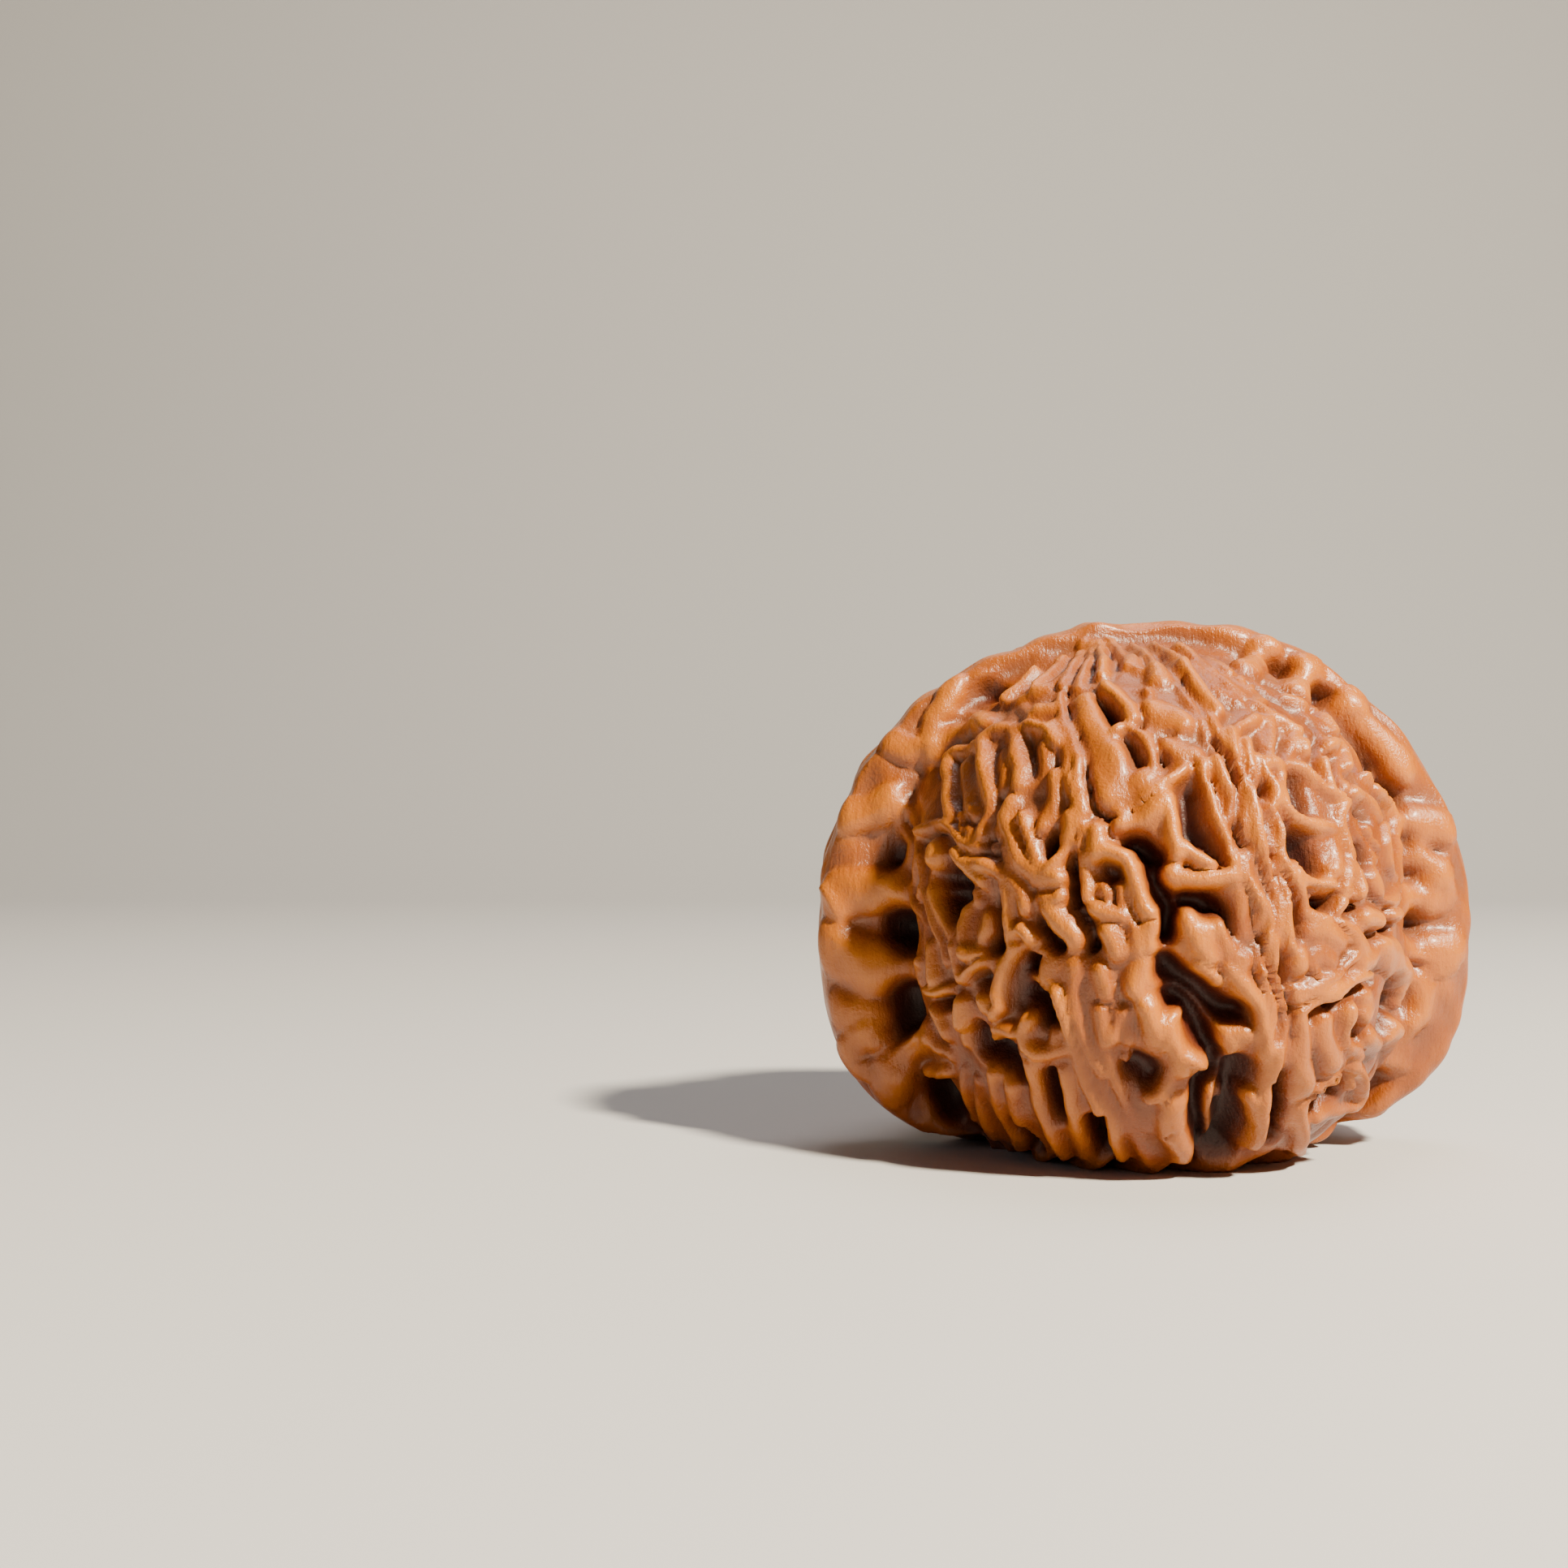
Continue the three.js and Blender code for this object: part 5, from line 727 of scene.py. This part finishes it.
def crest_relief(p):
    """Along the rim's crest: the seam of the two halves, fine lines beside it and slow swells."""
    y = p[:, 1] + 0.25 * wobble(p, 4.0, 2.2)[:, 0]
    seam = SEAM_DEPTH * np.exp(-(y / SEAM_HALF) ** 2)
    lines = 0.05 * np.sin(y * 6.5) * wobble(p, 2.7, 8.3)[:, 0]
    return lines + 0.14 * wobble(p, 1.9, 6.1)[:, 1] - seam


def near_half(d):
    """The far half carries the same drawing, turned half round and pulled about so that it differs."""
    pull = smooth(d[:, 1] / 0.35) * PULL
    x = pull * np.sin(d[:, 2] * 5.2 + 1.0) - d[:, 0]
    z = d[:, 2] + pull * np.sin(d[:, 0] * 4.7 + 0.6)
    return np.where(d[:, 1:2] <= 0, d, unit(np.column_stack([x, -d[:, 1], z])))


def surface(d, strokes):
    """Points of the finished surface in the directions d, and the relief's height there."""
    step = 0.006
    ahead = np.where(np.abs(d[:, 2:3]) < 0.8, [[0.0, 0.0, 1.0]], [[0.0, 1.0, 0.0]])
    side = unit(np.cross(d, ahead))
    lift = np.cross(side, d)
    slope_a = envelope(unit(d + side * step)) - envelope(unit(d - side * step))
    slope_b = envelope(unit(d + lift * step)) - envelope(unit(d - lift * step))
    out = unit(np.cross(slope_b, slope_a))
    out *= np.sign((out * d).sum(1, keepdims=True))
    p = envelope(d)
    off_crest = smooth((np.abs(p[:, 1]) - CREST_FREE) / CREST_FADE)
    underneath = smooth((-out[:, 2] - 0.8) / 0.12)
    drawn = mix(crest_relief(p), relief(near_half(d), strokes), off_crest)
    height = mix(drawn, base_relief(p) * mix(0.4, 1, off_crest), underneath)
    moved = p + out * height[:, None]
    moved[:, 2] = np.maximum(moved[:, 2], 0)
    return moved, height


def cube_grid():
    """Directions through the grid points of a cube's faces, and the quads between them."""
    n = GRID
    numbers = -np.ones((n + 1,) * 3, int)
    ends = np.indices(numbers.shape)
    outer = ((ends == 0) | (ends == n)).any(0)
    numbers[outer] = np.arange(outer.sum())
    flat = unit(np.tan((np.argwhere(outer) / n * 2 - 1) * math.pi / 4))
    flat[:, 1] *= 0.66 + 0.34 * flat[:, 1] ** 2
    quads = []
    for axis in range(3):
        for level in (0, n):
            face = np.take(numbers, level, axis)
            corners = [face[:-1, :-1], face[1:, :-1], face[1:, 1:], face[:-1, 1:]]
            quad = np.stack(corners, -1).reshape(-1, 4)
            quads.append(quad if (level == 0) == (axis == 1) else quad[:, ::-1])
    return unit(flat), np.concatenate(quads)


def edges_of(quads):
    pairs = np.concatenate([quads[:, [i, (i + 1) % 4]] for i in range(4)])
    return np.unique(np.sort(pairs, 1), axis=0)


def gathered(values, edges, weight, count):
    """Weighted sum of each vertex's neighbours."""
    total = np.zeros((count, values.shape[1]))
    for k in range(values.shape[1]):
        total[:, k] += np.bincount(edges[:, 0], values[edges[:, 1], k] * weight, count)
        total[:, k] += np.bincount(edges[:, 1], values[edges[:, 0], k] * weight, count)
    return total


def evened(d, edges, strokes, rounds):
    """Moves the grid points so that steep walls get as many as level ground."""
    ones = np.ones((len(d), 1))
    for _ in range(rounds):
        p, _ = surface(d, strokes)
        long = np.linalg.norm(p[edges[:, 0]] - p[edges[:, 1]], axis=1)
        weight = np.minimum(long, 4 * np.median(long))
        pulled = gathered(d, edges, weight, len(d)) / gathered(ones, edges, weight, len(d))
        d = unit(mix(d, pulled, 0.6))
    return d


def blurred(values, edges, rounds):
    ones = np.ones(len(edges))
    values = values[:, None]
    degree = gathered(np.ones_like(values), edges, ones, len(values))
    for _ in range(rounds):
        values = mix(values, gathered(values, edges, ones, len(values)) / degree, 0.7)
    return values[:, 0]


def walnut_mesh():
    strokes = {
        "ridges": laid_strokes(RIDGES + FINE_RIDGES, STROKE_MARGIN),
        "rim": laid_strokes(RIM_RIDGES, RIM_MARGIN),
        "hollows": laid_strokes(HOLLOWS, HOLLOW_MARGIN),
        "creases": laid_strokes(CREASES, 0.0),
    }
    d, quads = cube_grid()
    edges = edges_of(quads)
    d = evened(d, edges, strokes, 6)
    points, height = surface(d, strokes)
    mesh = bpy.data.meshes.new("walnut_shell")
    mesh.from_pydata((points * MM).tolist(), [], quads.tolist())
    mesh.shade_smooth()
    depth = blurred(height, edges, 2)
    attributes = {
        "depth": np.clip(depth / DARKEST, -0.2, 1.4),
        "crest": np.clip((depth - blurred(height, edges, 40)) * 1.6, -1, 1),
    }
    for name, values in attributes.items():
        attribute = mesh.attributes.new(name, "FLOAT", "POINT")
        attribute.data.foreach_set("value", values.astype(np.float32))
    return mesh


class Nodes:
    """Short calls to add and join shader nodes."""

    def __init__(self, material):
        material.use_nodes = True
        self.tree = material.node_tree
        self.tree.nodes.clear()

    def add(self, kind, inputs=None, **settings):
        node = self.tree.nodes.new(kind)
        for name, value in settings.items():
            setattr(node, name, value)
        for name, value in (inputs or {}).items():
            self.put(node.inputs[name], value)
        return node

    def put(self, socket, value):
        if isinstance(value, bpy.types.NodeSocket):
            self.tree.links.new(value, socket)
        else:
            socket.default_value = value

    def attribute(self, name):
        return self.add("ShaderNodeAttribute", attribute_name=name).outputs["Fac"]

    def ramp(self, factor, stops):
        node = self.add("ShaderNodeValToRGB", {"Fac": factor})
        ramp = node.color_ramp
        for _ in range(len(stops) - 2):
            ramp.elements.new(0.5)
        for element, (place, color) in zip(ramp.elements, stops):
            element.position = place
            element.color = (*color, 1)
        return node.outputs["Color"]

    def ranged(self, value, low, high, to_low, to_high):
        sizes = {"Value": value, "From Min": low, "From Max": high, "To Min": to_low, "To Max": to_high}
        return self.add("ShaderNodeMapRange", sizes).outputs["Result"]

    def math(self, operation, a, b):
        node = self.add("ShaderNodeMath", operation=operation)
        self.put(node.inputs[0], a)
        self.put(node.inputs[1], b)
        return node.outputs[0]

    def blend(self, mode, factor, a, b):
        node = self.add("ShaderNodeMix", data_type="RGBA", blend_type=mode)
        self.put(node.inputs["Factor"], factor)
        self.put(node.inputs[6], a)
        self.put(node.inputs[7], b)
        return node.outputs[2]

    def noise(self, place, scale, detail, roughness=0.5):
        sizes = {"Vector": place, "Scale": scale, "Detail": detail, "Roughness": roughness}
        return self.add("ShaderNodeTexNoise", sizes).outputs["Fac"]

    def bump(self, strength, distance, height, before=None):
        sizes = {"Strength": strength, "Distance": distance, "Height": height}
        if before is not None:
            sizes["Normal"] = before
        return self.add("ShaderNodeBump", sizes).outputs["Normal"]


def shell_material():
    """Polished, waxed nutshell: caramel with a painted highlight on the ridges, nearly black in the pits
    from painted shade over the shell's darker brown.
    """
    material = bpy.data.materials.new("shell")
    n = Nodes(material)
    place = n.add("ShaderNodeTexCoord").outputs["Object"]
    stretch = n.add("ShaderNodeMapping", {"Vector": place, "Scale": (1.0, 1.0, 0.28)}).outputs["Vector"]
    depth = n.attribute("depth")
    crest = n.attribute("crest")
    clouds = n.noise(place, 260, 4)
    fibres = n.noise(stretch, 2600, 3, 0.6)
    specks = n.noise(place, 5200, 3, 0.6)
    # painted shade: the pits' depth, with random tone, sets how dark the ramp paints them
    depth_shade_and_tone = n.math("ADD", depth, n.ranged(clouds, 0.3, 0.7, -0.1, 0.1))
    base = n.ramp(depth_shade_and_tone, SHELL_AND_PIT_SHADE_RAMP)
    # painted highlight on the ridges' tops
    crest_highlight = n.blend("MIX", n.ranged(crest, 0.05, 0.75, 0, 0.65), base, CREST_HIGHLIGHT_COLOR)
    # painted shade: small grooves are darkened
    groove_shade = n.blend("MULTIPLY", n.ranged(crest, -0.04, -0.5, 0, 0.85), crest_highlight, GROOVE_SHADE_TINT)
    sunk = n.ranged(crest, 0.0, -0.4, 0, 0.5)
    shallow = n.math("MULTIPLY", n.ranged(depth, 0.25, 0.5, 1, 0), sunk)
    # a paler pinkish brown laid in shallow grooves
    pale_grooves = n.blend("MIX", shallow, groove_shade, SHALLOW_GROOVE_COLOR)
    up = n.add("ShaderNodeSeparateXYZ", {"Vector": place}).outputs["Z"]
    # painted shade: darker towards the base
    low = n.blend("MULTIPLY", n.ranged(up, DARK_BELOW, 0.0, 0, 0.55), pale_grooves, BASE_SHADE_TINT)
    grain = n.blend("MULTIPLY", n.ranged(fibres, 0.35, 0.65, 0.28, 0), low, FIBRE_TINT)
    uneven = n.ranged(clouds, 0.3, 0.7, 0.28, 0.40)
    rough = n.math("ADD", uneven, n.ranged(depth, 0.2, 0.8, 0.0, 0.25))
    lines = n.bump(0.6, 0.00014, fibres)
    fine = n.bump(0.7, 0.00008, specks, lines)
    shader = n.add("ShaderNodeBsdfPrincipled", {
        "Base Color": grain,
        "Roughness": rough,
        "IOR": 1.48,
        "Normal": fine,
        "Subsurface Weight": 0.15,
        "Subsurface Radius": (1.0, 0.40, 0.12),
        "Subsurface Scale": 0.0007,
        "Coat Weight": n.ranged(depth, 0.1, 0.4, 0.22, 0.0),
        "Coat Roughness": 0.22,
    })
    n.add("ShaderNodeOutputMaterial", {"Surface": shader.outputs["BSDF"]})
    return material


def plain_material(name, color, roughness):
    material = bpy.data.materials.new(name)
    n = Nodes(material)
    shader = n.add("ShaderNodeBsdfPrincipled", {"Base Color": (*color, 1), "Roughness": roughness})
    n.add("ShaderNodeOutputMaterial", {"Surface": shader.outputs["BSDF"]})
    return material


def linked(name, data):
    thing = bpy.data.objects.new(name, data)
    bpy.context.scene.collection.objects.link(thing)
    return thing


def add_walnut():
    walnut = linked("walnut_dressed", walnut_mesh())
    walnut.data.materials.append(shell_material())
    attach(walnut, "root")
    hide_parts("walnut")


def add_floor():
    """Pale floor that sweeps up into the backdrop."""
    far = FLOOR["far"]
    bend = FLOOR["bend"]
    profile = [(FLOOR["near"], 0.0)]
    for i in range(13):
        turn = i / 12 * math.pi / 2
        profile.append((far - bend + bend * math.sin(turn), bend - bend * math.cos(turn)))
    profile.append((far, FLOOR["high"]))
    points = [(x, y, z) for y, z in profile for x in (-FLOOR["across"], FLOOR["across"])]
    faces = [(2 * i, 2 * i + 1, 2 * i + 3, 2 * i + 2) for i in range(len(profile) - 1)]
    mesh = bpy.data.meshes.new("floor")
    mesh.from_pydata(points, [], faces)
    mesh.shade_smooth()
    floor = linked("floor", mesh)
    mesh.materials.append(plain_material("floor", FLOOR["color"], 0.8))


def add_light(name, place, size, watts, color):
    data = bpy.data.lights.new(name, "AREA")
    data.shape = "DISK"
    data.size = size
    data.energy = watts
    data.color = color
    lamp = linked(name, data)
    direction = np.subtract(AIM, place)
    lamp.location = place
    lamp.rotation_euler = Vector(direction).to_track_quat("-Z", "Y").to_euler()


def add_lights():
    for name, place, size, watts, color in LIGHTS:
        add_light(name, place, size, watts, color)
    world = bpy.data.worlds.new("room")
    world.use_nodes = True
    background = world.node_tree.nodes["Background"]
    background.inputs["Color"].default_value = ROOM_COLOR
    background.inputs["Strength"].default_value = ROOM_STRENGTH
    bpy.context.scene.world = world


def add_camera():
    """Level camera at EYE, with the photograph's square frame."""
    data = bpy.data.cameras.new("camera")
    data.sensor_width = FRAME_WIDTH
    data.lens = FOCAL_LENGTH
    data.clip_start = 0.01
    camera = linked("camera", data)
    camera.location = EYE * MM
    camera.rotation_euler = (math.pi / 2, 0, 0)
    bpy.context.scene.camera = camera


add_walnut()
add_floor()
add_lights()
add_camera()
